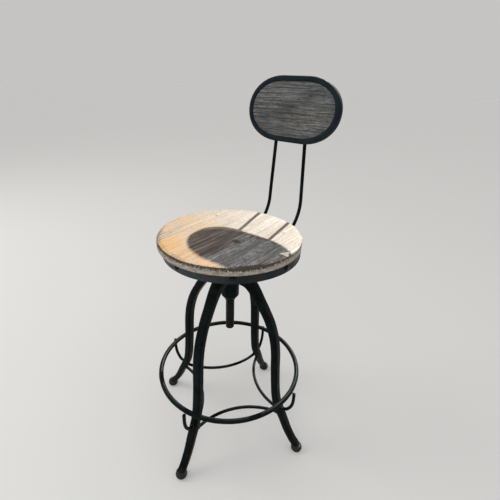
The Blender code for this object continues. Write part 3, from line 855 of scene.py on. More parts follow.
def make_hub():
    corners = [
        (HUB_BORE, HUB_TOP),
        (HUB_LIP_RADIUS, HUB_TOP),
        (HUB_LIP_RADIUS, HUB_LIP_BOTTOM),
        (HUB_RADIUS, HUB_BARREL_TOP),
        (HUB_RADIUS, HUB_BARREL_BOTTOM),
        (HUB_NOSE_RADII[0], HUB_NOSE_TOP),
        (HUB_NOSE_RADII[1], HUB_BOTTOM),
        (HUB_BORE, HUB_BOTTOM),
    ]
    profile = divided(soften(corners, 0.0016, 4, True), 0.0022, True)
    points, faces = skin(lathe_loops(profile, 80), True)
    hub = make_piece("hub", points, faces, BLACK_STEEL, "base")
    weather_outside(hub, 0.00035, 0.012, 1)


def weather_outside(piece, amount, size, seed):
    """As weather, but leaves a bore as it was cut."""
    mesh = piece.data
    mesh.update()
    keep = []
    for vertex in mesh.vertices:
        radius = math.hypot(vertex.co.x - AXIS.x, vertex.co.y - AXIS.y)
        keep.append(vertex.co.copy() if radius < HUB_BORE + 0.0006 else None)
    weather(piece, amount, size, seed)
    for vertex, place in zip(mesh.vertices, keep):
        if place is not None:
            vertex.co = place
    mesh.update()


def leg_section(thickness, width, corner):
    out = []
    for quarter in range(4):
        sign_a = (1, -1, -1, 1)[quarter]
        sign_b = (1, 1, -1, -1)[quarter]
        for step in range(6):
            angle = math.radians(90 * quarter + 18 * step)
            a = sign_a * (thickness / 2 - corner) + corner * math.cos(angle)
            b = sign_b * (width / 2 - corner) + corner * math.sin(angle)
            out.append((a, b))
    return out


def make_legs():
    rows = catmull(LEG_STATIONS, 6)
    path = [Vector((row[0], 0.0, row[1])) for row in rows]
    ways = directions(path)
    ways[0] = Vector((1.0, 0.0, 0.0))
    loops = []
    for row, point, along in zip(rows, path, ways):
        normal = Vector((-along.z, 0.0, along.x))
        section = leg_section(row[2], row[3], LEG_CORNER)
        loops.append([point + normal * a + Vector((0.0, b, 0.0)) for a, b in section])
    wrapped = []
    for p in loops[0]:
        reach = math.sqrt(max(0.0, HUB_RADIUS ** 2 - p.y ** 2))
        wrapped.append(Vector((reach - 0.0004, p.y, p.z)))
    loops[0] = wrapped
    loops[-1] = cut_end(loops[-1], ways[-1], path[-1], Vector((0.0, 0.0, 1.0)))
    for index, (name, angle) in enumerate(LEG_ANGLES.items()):
        points, faces = skin(loops, False)
        place = turned_base(angle)
        leg = make_piece("leg_" + name, points, faces, BLACK_STEEL, "base", place)
        weather(leg, 0.00045, 0.022, 10 + index)
        seam = [Vector((p.x + 0.0012, p.y, p.z)) for p in wrapped]
        weld("weld_hub_" + name, seam, HUB_BEAD, True, "base", place, index)


def leg_face(height, side):
    """The point of a leg's outer (1) or inner (-1) face at a height, and that face's direction."""
    for upper, lower in zip(LEG_STATIONS, LEG_STATIONS[1:]):
        if upper[1] >= height >= lower[1]:
            part = (upper[1] - height) / (upper[1] - lower[1])
            distance = upper[0] + part * (lower[0] - upper[0])
            thickness = upper[2] + part * (lower[2] - upper[2])
            along = Vector((lower[0] - upper[0], 0.0, lower[1] - upper[1])).normalized()
            normal = Vector((-along.z, 0.0, along.x)) * side
            return Vector((distance, 0.0, height)) + normal * thickness / 2, normal
    return None


def make_feet():
    smooth = soften([(radius * FOOT_SLIMMING, height) for radius, height in FOOT_PROFILE], 0.003, 5)
    for index, (name, angle) in enumerate(LEG_ANGLES.items()):
        points, faces = skin(lathe_loops(smooth, 48), False)
        place = turned_base(angle) @ Matrix.Translation((FOOT_DISTANCE, 0.0, 0.0))
        foot = make_piece("foot_" + name, points, faces, FOOT_RUBBER, "base", place)
        low = [v.co.z for v in foot.data.vertices]
        weather(foot, 0.0002, 0.006, 20 + index)
        for vertex, height in zip(foot.data.vertices, low):
            if height < 0.0004:
                vertex.co.z = 0.0


def make_foot_ring():
    loops = []
    turns = 176
    sides = 20
    for i in range(turns):
        angle = 2 * math.pi * i / turns
        out = Vector((math.cos(angle), math.sin(angle), 0.0))
        loop = []
        for j in range(sides):
            around = 2 * math.pi * j / sides
            rise = Vector((0.0, 0.0, RING_HEIGHT + RING_TUBE * math.sin(around)))
            loop.append(out * (RING_RADIUS + RING_TUBE * math.cos(around)) + rise)
        loops.append(loop)
    points, faces = skin(loops, True)
    ring = make_piece("foot_ring", points, faces, BLACK_STEEL, "base", BASE_PLACE)
    weather(ring, 0.0003, 0.02, 31)


def make_ring_hooks():
    rows = catmull(HOOK_PATH, 6)
    path = [Vector((row[0], 0.0, row[1])) for row in rows]
    ways = directions(path)
    loops = rod_loops(path, ROD, 18, Vector((0.0, 1.0, 0.0)))
    face, normal = leg_face(path[0].z, 1)
    foot = cut_end(loops[0], ways[0], face, normal)
    loops = [foot] + loops[4:]
    loops = round_off(loops, -1, ways[-1], ROD)
    for index, (name, angle) in enumerate(LEG_ANGLES.items()):
        place = turned_base(angle)
        points, faces = skin(loops, False)
        hook = make_piece("ring_hook_" + name, points, faces, BLACK_STEEL, "base", place)
        weather(hook, 0.0002, 0.012, 40 + index)
        weld("weld_hook_" + name, foot, ROD_BEAD, True, "base", place, 5 + index)
        for side in (-1, 1):
            x = RING_RADIUS + RING_TUBE + 0.0006
            run = [Vector((x, side * 0.0022, z)) for z in (RING_HEIGHT - 0.0045, RING_HEIGHT - 0.0015)]
            label = "weld_ring_%s_%s" % (name, "a" if side < 0 else "b")
            weld(label, run, ROD_BEAD, False, "base", place, 9 + index + side)


def make_braces():
    steps = 40
    face, normal = leg_face(BRACE_HEIGHT, -1)
    for index, (side, angle) in enumerate(LEG_ANGLES.items()):
        path = []
        for i in range(steps + 1):
            sweep = math.radians(180 - BRACE_HALF_ANGLE + 2 * BRACE_HALF_ANGLE * i / steps)
            x = BRACE_CENTRE + BRACE_RADIUS * math.cos(sweep)
            path.append(Vector((x, BRACE_RADIUS * math.sin(sweep), BRACE_HEIGHT)))
        loops = rod_loops(path, ROD, 18, Vector((0.0, 0.0, 1.0)))
        ways = directions(path)
        for end, turn in ((0, 45.0), (-1, -45.0)):
            spin = Vector((math.cos(math.radians(turn)), math.sin(math.radians(turn)), 0.0))
            point = spin * face.x + Vector((0.0, 0.0, face.z))
            facing = spin * normal.x + Vector((0.0, 0.0, normal.z))
            loops[end] = cut_end(loops[end], ways[end], point, facing)
        place = turned_base(angle + 45.0)
        points, faces = skin(loops, False)
        brace = make_piece("brace_" + side, points, faces, BLACK_STEEL, "base", place)
        weather(brace, 0.0002, 0.012, 50 + index)
        weld("weld_brace_%s_a" % side, loops[0], ROD_BEAD, True, "base", place, 15 + index)
        weld("weld_brace_%s_b" % side, loops[-1], ROD_BEAD, True, "base", place, 25 + index)


# ---------------------------------------------------------------- washer and screw


def make_washer():
    inner = SCREW_RADIUS + GAP
    corners = [
        (inner, WASHER_BOTTOM),
        (WASHER_RADIUS, WASHER_BOTTOM),
        (WASHER_RADIUS, WASHER_TOP),
        (inner, WASHER_TOP),
    ]
    points, faces = skin(lathe_loops(soften(corners, 0.0006, 4, True), 72), True)
    make_piece("hub_washer", points, faces, SCREW_STEEL, "washer")


def thread_radius(angle, height):
    """Radius of a right-hand trapezoid thread at a place round the screw."""
    phase = (height / SCREW_PITCH - angle / (2 * math.pi)) % 1.0
    flank = 0.16
    if phase < 0.34:
        depth = 1.0
    elif phase < 0.34 + flank:
        depth = 1.0 - (phase - 0.34) / flank
    elif phase < 1.0 - flank:
        depth = 0.0
    else:
        depth = (phase - 1.0 + flank) / flank
    depth = depth * depth * (3 - 2 * depth)
    return SCREW_RADIUS - SCREW_THREAD_DEPTH * depth


def make_screw():
    segments = 64
    thread_end = SCREW_TOP - 0.0245
    loops = []
    for radius, lift in ((0.0003, 0.0), (0.0085, 0.0), (0.0096, 0.0002), (0.0101, 0.0009)):
        loops += lathe_loops([(radius, SCREW_BOTTOM + lift)], segments)
    height = SCREW_BOTTOM + 0.0014
    while height < thread_end:
        lead_in = min(1.0, (height - SCREW_BOTTOM) / 0.0032)
        lead_out = min(1.0, (thread_end - height) / 0.004)
        loop = []
        for i in range(segments):
            angle = 2 * math.pi * i / segments
            plain = SCREW_RADIUS - SCREW_THREAD_DEPTH
            full = plain + (thread_radius(angle, height) - plain) * lead_in
            radius = SCREW_RADIUS + (full - SCREW_RADIUS) * lead_out
            loop.append(Vector((radius * math.cos(angle), radius * math.sin(angle), height)))
        loops.append(loop)
        height += 0.00045
    flange_bottom = SCREW_TOP - SCREW_FLANGE_THICKNESS
    neck = [
        (SCREW_RADIUS, thread_end),
        (SCREW_RADIUS, SCREW_TOP - SCREW_NECK),
        (SCREW_RADIUS + 0.006, flange_bottom),
        (SCREW_FLANGE_RADIUS, flange_bottom),
        (SCREW_FLANGE_RADIUS, SCREW_TOP),
        (0.0003, SCREW_TOP),
    ]
    loops += lathe_loops(soften(neck, 0.0016, 5), segments)
    points, faces = skin(loops, False)
    make_piece("screw", points, faces, SCREW_STEEL, "seat", SEAT_PLACE, 55.0)


# ---------------------------------------------------------------- seat: board, band, bolts, plate, clamps


def paint(piece, name, values):
    layer = piece.data.attributes.new(name, "FLOAT", "POINT")
    layer.data.foreach_set("value", values)


def hump(value, centre, width):
    """1 at the centre, falling softly to 0 a width away."""
    t = max(0.0, 1.0 - abs(value - centre) / width)
    return t * t * (3 - 2 * t)


def step_up(value, low, high):
    t = clamped((value - low) / (high - low))
    return t * t * (3 - 2 * t)


def turn_from(angle, centre):
    """Degrees between an angle and a centre, the short way."""
    return (angle - centre + 180.0) % 360.0 - 180.0


def arris_loss(angle):
    """How far the top arris is broken away at an angle in degrees, from 0 to 1."""
    around = Vector((math.cos(math.radians(angle)), math.sin(math.radians(angle)), 0.0))
    ragged = noise.fractal(around * 7.0 + Vector((4.1, 0.3, 9.7)), 0.7, 2.0, 4)
    fine = noise.fractal(around * 38.0 + Vector((1.1, 7.3, 2.7)), 0.8, 2.0, 3)
    worst = 0.75 * hump(turn_from(angle, -42.0), 0.0, 26.0)
    worst += 0.55 * hump(turn_from(angle, -118.0), 0.0, 40.0)
    return clamped(0.10 + 0.45 * ragged + 0.30 * fine + worst)


def groove(x, y):
    """Open grain on the face of a board, from 0 to 1, running along y."""
    sway = 0.006 * noise.noise(Vector((x * 9.0, y * 3.0, 2.0)))
    value = noise.fractal(Vector(((x + sway) * 95.0, y * 4.5, 5.0)), 0.9, 2.0, 3)
    return clamped(0.5 + 0.9 * value)


def make_seat_board():
    """The seat as a fine turned skin, with a ragged arris, open grain, a chip and masks for its tones."""
    segments = 480
    rows = []
    core = BAND_INNER - GAP
    corners = [(0.0005, SEAT_CORE_BOTTOM), (core, SEAT_CORE_BOTTOM), (core, SEAT_EDGE_BOTTOM)]
    corners += [(SEAT_RADIUS, SEAT_EDGE_BOTTOM), (SEAT_RADIUS, SEAT_EDGE_BOTTOM + 0.004)]
    rows += soften(corners, 0.0011, 3)[:-1]
    side_rows = 9
    for i in range(side_rows):
        rise = (SEAT_TOP - 0.0064 - SEAT_EDGE_BOTTOM) * i / side_rows
        rows.append((SEAT_RADIUS, SEAT_EDGE_BOTTOM + 0.004 + rise))
    for i in range(7):
        angle = math.radians(15.0 * i)
        inward = SEAT_ARRIS * (1 - math.cos(angle))
        rows.append((SEAT_RADIUS - inward, SEAT_TOP - SEAT_ARRIS * (1 - math.sin(angle))))
    radius = SEAT_RADIUS - SEAT_ARRIS - 0.0012
    while radius > 0.004:
        rows.append((radius, SEAT_TOP))
        radius -= 0.0019
    rows.append((0.0006, SEAT_TOP))

    points = []
    masks = {name: [] for name in ("honey", "shade_and_weathering", "grey_board_and_shade", "knot", "side", "stain", "fresh")}
    for radius, height in rows:
        rim = 0.0
        if height > SEAT_EDGE_BOTTOM:
            rim = step_up(radius, SEAT_RADIUS - 0.012, SEAT_RADIUS - 0.002)
        outer = step_up(radius, BAND_INNER + 0.0005, BAND_INNER + 0.004)
        top = step_up(height, SEAT_TOP - 0.0020, SEAT_TOP)
        near_top = step_up(height, SEAT_TOP - 0.011, SEAT_TOP - 0.001)
        stained = step_up(height, SEAT_TOP - 0.0155, SEAT_TOP - 0.0025)
        if height > SEAT_TOP - 0.001:
            stained = step_up(radius, SEAT_RADIUS - 0.014, SEAT_RADIUS - 0.0035)
        for i in range(segments):
            angle = 2 * math.pi * i / segments
            turn = math.degrees(angle)
            x = radius * math.cos(angle)
            y = radius * math.sin(angle)
            around = Vector((math.cos(angle), math.sin(angle), 0.0))
            loss = arris_loss(turn)
            shrink = 0.0
            sink = 0.0
            if outer > 0.0:
                rough = noise.fractal(Vector((x * 130.0, y * 130.0, height * 190.0)), 0.8, 2.0, 3)
                shrink = outer * 0.0007 * clamped(0.5 + rough)
                shrink += outer * 0.0024 * loss * near_top
                sink = 0.0016 * loss * rim * near_top
            chip = Vector((x - SEAT_CHIP[0], y - SEAT_CHIP[1]))
            chipped = 0.0
            if top > 0.0:
                sink += 0.00042 * groove(x, y) * top
                sink += 0.0007 * top * clamped(0.5 + noise.noise(Vector((x * 14, y * 7, 3.3))))
                corner = max(a * chip.x + b * chip.y - reach for a, b, reach in SEAT_CHIP_SIDES)
                chipped = step_up(-corner, -0.0012, 0.0012)
                sink += 0.0008 * chipped
            reach = radius - shrink
            shift = rim if height > SEAT_EDGE_BOTTOM + 0.001 else outer
            place = around * reach + Vector((SEAT_OFF_CENTRE.x, SEAT_OFF_CENTRE.y, 0.0)) * shift
            if height < SEAT_EDGE_BOTTOM + 0.001:
                place += Vector((BAND_OFF_CENTRE.x, BAND_OFF_CENTRE.y, 0.0)) * (1.0 - outer)
            points.append((place.x, place.y, height - sink))
            paint_seat(masks, x, y, turn, top, loss, stained, chipped, outer)
    faces = []
    for i in range(len(rows) - 1):
        for j in range(segments):
            k = (j + 1) % segments
            here = i * segments
            faces.append((here + j, here + k, here + segments + k, here + segments + j))
    faces.append(tuple(range(segments)))
    last = (len(rows) - 1) * segments
    faces.append(tuple(range(last, last + segments)))
    board = make_piece("seat_board", points, faces, SEAT_TIMBER, "seat", SEAT_PLACE, 80.0, ["seat_wood"])
    for name, values in masks.items():
        paint(board, name, values)


def paint_seat(masks, x, y, turn, top, loss, edge, chipped, outer):
    """The seat's tones at one point: where it is orange, knotted and stained, and where the grey-brown painted
    shade and the blue-grey tone lie under the back's shadow.
    """
    drift = 0.016 * noise.noise(Vector((x * 14.0, y * 5.0, 1.0)))
    fingers = 0.016 * noise.fractal(Vector((x * 90.0, y * 7.0, 6.0)), 0.8, 2.0, 3)
    left = step_up(-x + drift, 0.02, 0.09)
    low = step_up(-y + drift, -0.08, 0.01)
    front = step_up(-y + drift, 0.095, 0.145) * step_up(0.12 - x, 0.0, 0.04)
    honey = 0.16 + 0.50 * left * low + 0.75 * front
    honey += 0.30 * hump(math.hypot(x + 0.120, y - 0.075), 0.0, 0.045)
    honey += 0.35 * hump(x - drift, 0.150, 0.014) * step_up(y, 0.000, 0.030)
    honey += 0.25 * hump(x - drift, 0.030, 0.012) * step_up(y, 0.030, 0.080)
    # Painted shade: this grey-brown mask follows the outline of the back's shadow on the seat; the pale streak
    # and the dark patch near the left rim added to it are real weathering.
    far = math.hypot(max(0.0, 0.05 - x) / 0.122, (y + 0.054) / 0.084) + 2.0 * fingers
    shade_and_weathering = 1.0 - step_up(far, 0.93, 1.03)
    shade_and_weathering *= 1.0 - 0.72 * step_up(x - drift, 0.105, 0.140)
    shade_and_weathering *= 1.0 - 0.42 * hump(x - drift, 0.010, 0.020) * step_up(-y, 0.030, 0.080)
    pale_streak = hump(x + 0.138 + 0.36 * (y + 0.05) + drift, 0.0, 0.026) * step_up(-y, 0.000, 0.060)
    shade_and_weathering = max(shade_and_weathering, 0.40 * pale_streak)
    shade_and_weathering = max(shade_and_weathering, 0.75 * hump(math.hypot((x + 0.131) / 0.45, y + 0.112), 0.0, 0.032))
    # The blue-grey tone is cut off front and back at the edges of the back's shadow: partly a grey board,
    # partly painted shade.
    silver = step_up(x + fingers + drift, 0.014, 0.040) * (1.0 - 0.35 * step_up(x - drift, 0.145, 0.175))
    silver *= step_up(y, -0.160, -0.125) * (1.0 - step_up(y + fingers, 0.010, 0.036))
    silver *= 1.0 - 0.75 * hump(math.hypot((x - 0.042) / 0.55, (y + 0.104) / 1.5) + fingers, 0.0, 0.034)
    silver = max(silver, 0.50 * pale_streak)
    knot = 0.0
    for place_x, place_y, wide, deep in SEAT_KNOTS:
        bend = 1.0 + 0.35 * noise.noise(Vector((x * 160.0, y * 160.0, 7.0)))
        away = math.hypot((x - place_x) / wide, (y - place_y) / deep)
        knot = max(knot, 1.0 - min(1.0, away * 0.62 * bend))
    burnt = 1.15 * hump(turn_from(turn, -37.0), 0.0, 25.0)
    dark_left = 1.05 * hump(turn_from(turn, -136.0), 0.0, 40.0)
    facing = 1.0 - step_up(abs(turn_from(turn, -95.0)), 70.0, 115.0)
    line = (0.40 + 0.36 * facing + 0.35 * loss) * (1.0 - 0.65 * top)
    stain = edge * max(burnt * (1.0 - 0.25 * top), dark_left * (1.0 - 0.45 * top), line)
    masks["honey"].append(honey)
    masks["shade_and_weathering"].append(shade_and_weathering)
    masks["grey_board_and_shade"].append(silver)
    masks["knot"].append(knot * top)
    masks["side"].append(max(outer * (1.0 - top), 0.0 if top > 0.0 else 1.0))
    masks["stain"].append(stain)
    masks["fresh"].append(chipped * top)


def bolt_places():
    """Angle and height of each band bolt, read from where its node stands."""
    out = []
    for i in range(BAND_BOLT_COUNT):
        place = centre_of("band_bolt_%d" % (i + 1)) - centre_of("seat_band")
        out.append((math.atan2(place.y, place.x), place.z + centre_of("seat_band").z))
    return out


def make_band():
    corners = [
        (BAND_INNER, BAND_BOTTOM),
        (BAND_OUTER, BAND_BOTTOM),
        (BAND_OUTER, BAND_TOP),
        (BAND_INNER, BAND_TOP),
    ]
    profile = divided(soften(corners, 0.0009, 4, True), 0.003, True)
    points, faces = skin(lathe_loops(profile, 288), True)
    band = make_piece("seat_band", points, faces, BAND_STEEL, "seat", BAND_PLACE)
    weather(band, 0.0003, 0.035, 61)
    # Painted shade: darkens the band all round except its front quarter on the sitter's right.
    band_shade = []
    for vertex in band.data.vertices:
        spot = vertex.co - BAND_PLACE.translation
        turn = math.degrees(math.atan2(spot.y, spot.x))
        cloudy = noise.fractal(vertex.co * 22.0, 0.8, 2.0, 3)
        band_shade.append(clamped(step_up(turn, -88.0, -40.0) + 0.30 * cloudy))
    paint(band, "band_shade", band_shade)


def make_band_bolts():
    head = BAND_BOLT_HEAD
    corners = [
        (0.0003, -BAND_BOLT_LENGTH),
        (BAND_BOLT_SHANK, -BAND_BOLT_LENGTH),
        (BAND_BOLT_SHANK, GAP),
        (head, GAP),
        (head, BAND_BOLT_BRIM),
    ]
    dome = []
    for i in range(9):
        angle = math.radians(10.0 + 8.6 * i)
        dome.append((head * math.cos(angle), BAND_BOLT_BRIM + BAND_BOLT_DOME * math.sin(angle)))
    profile = soften(corners, 0.0004, 2)[:-1] + dome + [(0.0003, BAND_BOLT_BRIM + BAND_BOLT_DOME)]
    for i, (angle, height) in enumerate(bolt_places()):
        spin = Matrix.Rotation(angle, 4, "Z") @ Matrix.Translation((BAND_OUTER, 0.0, height))
        place = BAND_PLACE @ spin @ Matrix.Rotation(math.pi / 2, 4, "Y")
        points, faces = skin(lathe_loops(profile, 36), False)
        bolt = make_piece("band_bolt_%d" % (i + 1), points, faces, BOLT_STEEL, "seat", place, 50.0)
        weather(bolt, 0.00012, 0.0035, 70 + i)


def make_plate():
    corners = [
        (LATHE_CENTRE, PLATE_BOTTOM),
        (PLATE_RADIUS, PLATE_BOTTOM),
        (PLATE_RADIUS, PLATE_TOP),
        (LATHE_CENTRE, PLATE_TOP),
    ]
    profile = divided(soften(corners, 0.0012, 4), 0.005, False)
    points, faces = skin(lathe_loops(profile, 120), False)
    plate = make_piece("seat_plate", points, faces, BLACK_STEEL, "seat")
    weather(plate, 0.0002, 0.02, 81)


def make_bevelled_piece(name, points, faces, width, material):
    """A piece under the seat with all its sharp edges eased by a width."""
    piece = make_piece(name, points, faces, material, "seat", SEAT_PLACE, 30.0)
    work = bmesh.new()
    work.from_mesh(piece.data)
    edges = [e for e in work.edges if e.is_manifold and e.calc_face_angle() > math.radians(25)]
    bmesh.ops.bevel(work, geom=edges, offset=width, segments=3, profile=0.5, affect="EDGES")
    work.to_mesh(piece.data)
    work.free()
    for polygon in piece.data.polygons:
        polygon.use_smooth = True
    piece.data.set_sharp_from_angle(angle=math.radians(35))


def make_clamps():
    for name, y in (("front", -CLAMP_Y), ("back", CLAMP_Y)):
        low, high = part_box("rod_clamp_" + name)
        loops = []
        for z in (low.z, high.z):
            loop = []
            for sign_x, sign_y in ((1, 1), (-1, 1), (-1, -1), (1, -1)):
                loop.append(Vector((sign_x * CLAMP_HALF_LENGTH, y + sign_y * CLAMP_HALF_WIDTH, z)))
            loops.append(loop)
        points, faces = skin(loops, False)
        make_bevelled_piece("rod_clamp_" + name, points, faces, 0.0009, BLACK_STEEL)


def make_clamp_bolts():
    names = ("front_right", "front_left", "back_right", "back_left")
    places = [(x, y) for y in (-CLAMP_Y, CLAMP_Y) for x in (-CLAMP_BOLT_X, CLAMP_BOLT_X)]
    for name, (x, y) in zip(names, places):
        node = "clamp_bolt_" + name
        low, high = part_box(node)
        loops = []
        for radius, z in (
            (CLAMP_BOLT_HEAD * 0.86, low.z),
            (CLAMP_BOLT_HEAD, low.z + 0.0009),
            (CLAMP_BOLT_HEAD, low.z + CLAMP_BOLT_HEAD_HEIGHT),
            (CLAMP_BOLT_SHANK, low.z + CLAMP_BOLT_HEAD_HEIGHT),
            (CLAMP_BOLT_SHANK, high.z),
        ):
            angles = [2 * math.pi * i / 6 for i in range(6)]
            loops.append([Vector((x + radius * math.cos(a), y + radius * math.sin(a), z)) for a in angles])
        points, faces = skin(loops, False)
        make_bevelled_piece(node, points, faces, 0.0003, BOLT_STEEL)


# ---------------------------------------------------------------- back: rods, pan and panel


def fillet(corners, radii, steps):
    """A path through corners with each inner corner bent to its own radius."""
    out = [corners[0]]
    for before, corner, after, radius in zip(corners, corners[1:], corners[2:], radii):
        back = (before - corner).normalized()
        on = (after - corner).normalized()
        half = math.acos(max(-1.0, min(1.0, back.dot(on)))) / 2
        centre = corner + (back + on).normalized() * (radius / math.sin(half))
        first = corner + back * (radius / math.tan(half))
        last = corner + on * (radius / math.tan(half))
        for i in range(steps + 1):
            way = (first - centre).normalized().slerp((last - centre).normalized(), i / steps)
            out.append(centre + way * radius)
    out.append(corners[-1])
    return out


def back_rod_path():
    """A rod's centre line, from under the seat to the back's rear face, and the back's upward direction."""
    lean = math.radians(BACK_LEAN)
    behind = BACK_DEPTH / 2 + BACK_ROD + GAP
    up = Vector((0.0, math.sin(lean), math.cos(lean)))
    rear = Vector((0.0, BACK_CENTRE[0], BACK_CENTRE[1])) + behind * Vector((0.0, up.z, -up.y))
    stem_y = BACK_ROD_AT[0] - BACK_ROD_LEAN * BACK_ROD_AT[1]
    slope = up.y / up.z
    knee_z = (rear.y - slope * rear.z - stem_y) / (BACK_ROD_LEAN - slope)
    corners = [
        Vector((0.0, BACK_ROD_FRONT, BACK_ROD_LOW)),
        Vector((0.0, stem_y + BACK_ROD_LEAN * BACK_ROD_LOW, BACK_ROD_LOW)),
        Vector((0.0, stem_y + BACK_ROD_LEAN * knee_z, knee_z)),
        rear + up * BACK_ROD_REACH,
    ]
    return fillet(corners, (BACK_ROD_BEND, BACK_ROD_KNEE), 26), up


def make_back_rods():
    path, up = back_rod_path()
    bend_top = BACK_ROD_LOW + BACK_ROD_BEND
    fine = [path[0]]
    for a, b in zip(path, path[1:]):
        parts = max(1, int((b - a).length / 0.006))
        for step in range(1, parts + 1):
            fine.append(a.lerp(b, step / parts))
    loops = rod_loops(fine, BACK_ROD * BACK_ROD_SLIMMING, 18, Vector((1.0, 0.0, 0.0)))
    ways = directions(fine)
    loops = round_off(loops, -1, ways[-1], BACK_ROD)
    loops = round_off(loops, 0, -ways[0], BACK_ROD)
    half = BACK_DEPTH / 2
    for index, (name, side) in enumerate((("left", 1), ("right", -1))):
        moved = []
        for loop in loops:
            middle = sum((p.z for p in loop)) / len(loop)
            shift = side * (BACK_ROD_SPREAD - BACK_ROD_TAPER * max(0.0, middle - bend_top))
            moved.append([p + Vector((shift, 0.0, 0.0)) for p in loop])
        points, faces = skin(moved, False)
        rod = make_piece("back_rod_" + name, points, faces, BLACK_STEEL, "seat")
        weather(rod, 0.00018, 0.015, 90 + index)
        normal = Vector((0.0, up.z, -up.y))
        surface = Vector((0.0, BACK_CENTRE[0], BACK_CENTRE[1])) + normal * (half + 0.0006)
        for number, spot in enumerate((-0.062, -0.030, 0.018)):
            for edge in (-1, 1):
                run = []
                for t in (0.0, 0.012):
                    point = surface + up * (spot + t)
                    shift = side * (BACK_ROD_SPREAD - BACK_ROD_TAPER * max(0.0, point.z - bend_top))
                    run.append(point + Vector((shift + edge * BACK_ROD * 0.72, 0.0, 0.0)))
                label = "weld_back_%s_%d%s" % (name, number + 1, "a" if edge < 0 else "b")
                weld(label, run, BACK_BEAD, False, "seat", SEAT_PLACE, number + edge + side)


def oval(inset, count):
    """The back's outline, moved in by an inset, as points at even steps."""
    outline = []
    for i in range(count):
        angle = 2 * math.pi * (i + 0.5) / count
        c = math.cos(angle)
        s = math.sin(angle)
        power = 2 / BACK_ROUNDNESS
        x = math.copysign(BACK_STRAIGHT + (BACK_HALF_WIDTH - BACK_STRAIGHT) * abs(c) ** power, c)
        outline.append(Vector((x, math.copysign(BACK_HALF_HEIGHT * abs(s) ** power, s), 0.0)))
    outline = even_path(outline, 0.0035, True)
    count = len(outline)
    out = []
    for i, point in enumerate(outline):
        along = outline[(i + 1) % count] - outline[i - 1]
        normal = Vector((-along.y, along.x, 0.0)).normalized()
        out.append(point + normal * inset)
    return out


def back_place():
    lean = math.radians(BACK_LEAN)
    half = BACK_DEPTH / 2
    place = Vector((0.0, BACK_CENTRE[0] + half * math.cos(lean), BACK_CENTRE[1] - half * math.sin(lean)))
    turn = Euler((math.pi / 2 - lean, 0.0, 0.0)).to_matrix().to_4x4()
    return SEAT_PLACE @ Matrix.Translation(place) @ turn


def make_back_pan():
    corners = [
        (0.030, 0.0),
        (0.0, 0.0),
        (0.0, 0.0140),
        (0.0016, 0.0180),
        (0.0052, BACK_DEPTH),
        (0.0095, BACK_DEPTH),
        (BACK_RIM, 0.0185),
        (BACK_RIM, 0.0025),
    ]
    profile = soften(corners, 0.0026, 5)
    loops = []
    for inset, depth in profile:
        loops.append([Vector((p.x, p.y, depth)) for p in oval(inset, 256)])
    points, faces = skin(loops, False)
    pan = make_piece("back_pan", points, faces, PAN_STEEL, "seat", back_place())
    weather(pan, 0.00025, 0.03, 101)


def make_back_panel():
    edge = BACK_RIM + GAP
    outline = oval(edge, 256)
    rings = [
        (1.0, 0.0028),
        (1.0, 0.0080),
        (1.0, BACK_PANEL_FRONT - 0.0010),
        (0.9965, BACK_PANEL_FRONT - 0.0003),
    ]
    scale = 0.992
    while scale > 0.02:
        rings.append((scale, BACK_PANEL_FRONT))
        scale -= 0.0235
    loops = []
    warm = []
    dark = []
    for scale, depth in rings:
        loop = []
        for p in outline:
            x = p.x * scale
            y = p.y * scale
            sink = 0.0
            if depth == BACK_PANEL_FRONT:
                sink = 0.00045 * groove(y + 0.4, x * 0.8)
                sink += 0.0005 * clamped(0.5 + noise.noise(Vector((x * 9.0, y * 16.0, 8.0))))
            loop.append(Vector((x, y, depth - sink)))
            warm.append(hump(math.hypot((x + 0.083) / 1.3, y + 0.050), 0.0, 0.018))
            drift = noise.fractal(Vector((x * 10.0, y * 26.0, 4.0)), 0.8, 2.0, 3)
            middle = hump(math.hypot((x + 0.012) / 1.7, (y + 0.006) / 0.8), 0.0, 0.045)
            foot = step_up(-y, 0.040, 0.075)
            corner = hump(math.hypot((x + 0.070) / 1.4, y + 0.020), 0.0, 0.030)
            dark.append(clamped(0.55 * max(middle, foot, corner) + 0.8 * drift))
        loops.append(loop)
    points, faces = skin(loops, False)
    panel = make_piece("back_panel", points, faces, BACK_TIMBER, "seat", back_place(), 80.0)
    paint(panel, "warm", warm)
    paint(panel, "dark", dark)


# ---------------------------------------------------------------- floor, light and camera

FLOOR_RADII = (0.5, 2.0, 8.0, 40.0)
FLOOR_GLOW = 0.062
STUDIO_COLOUR = (1.0, 0.99, 0.975, 1.0)
STUDIO_STRENGTH = 0.56
KEY_DIRECTION = (-0.158, 0.738, 0.656)
KEY_STRENGTH = 8.9
KEY_SOFTNESS = 1.0
CAMERA_LENS = 25.58
CAMERA_PLACE = (0.51984, -0.64667, 0.99274)
CAMERA_TURN = (64.1406, -1.7820, 36.7979)


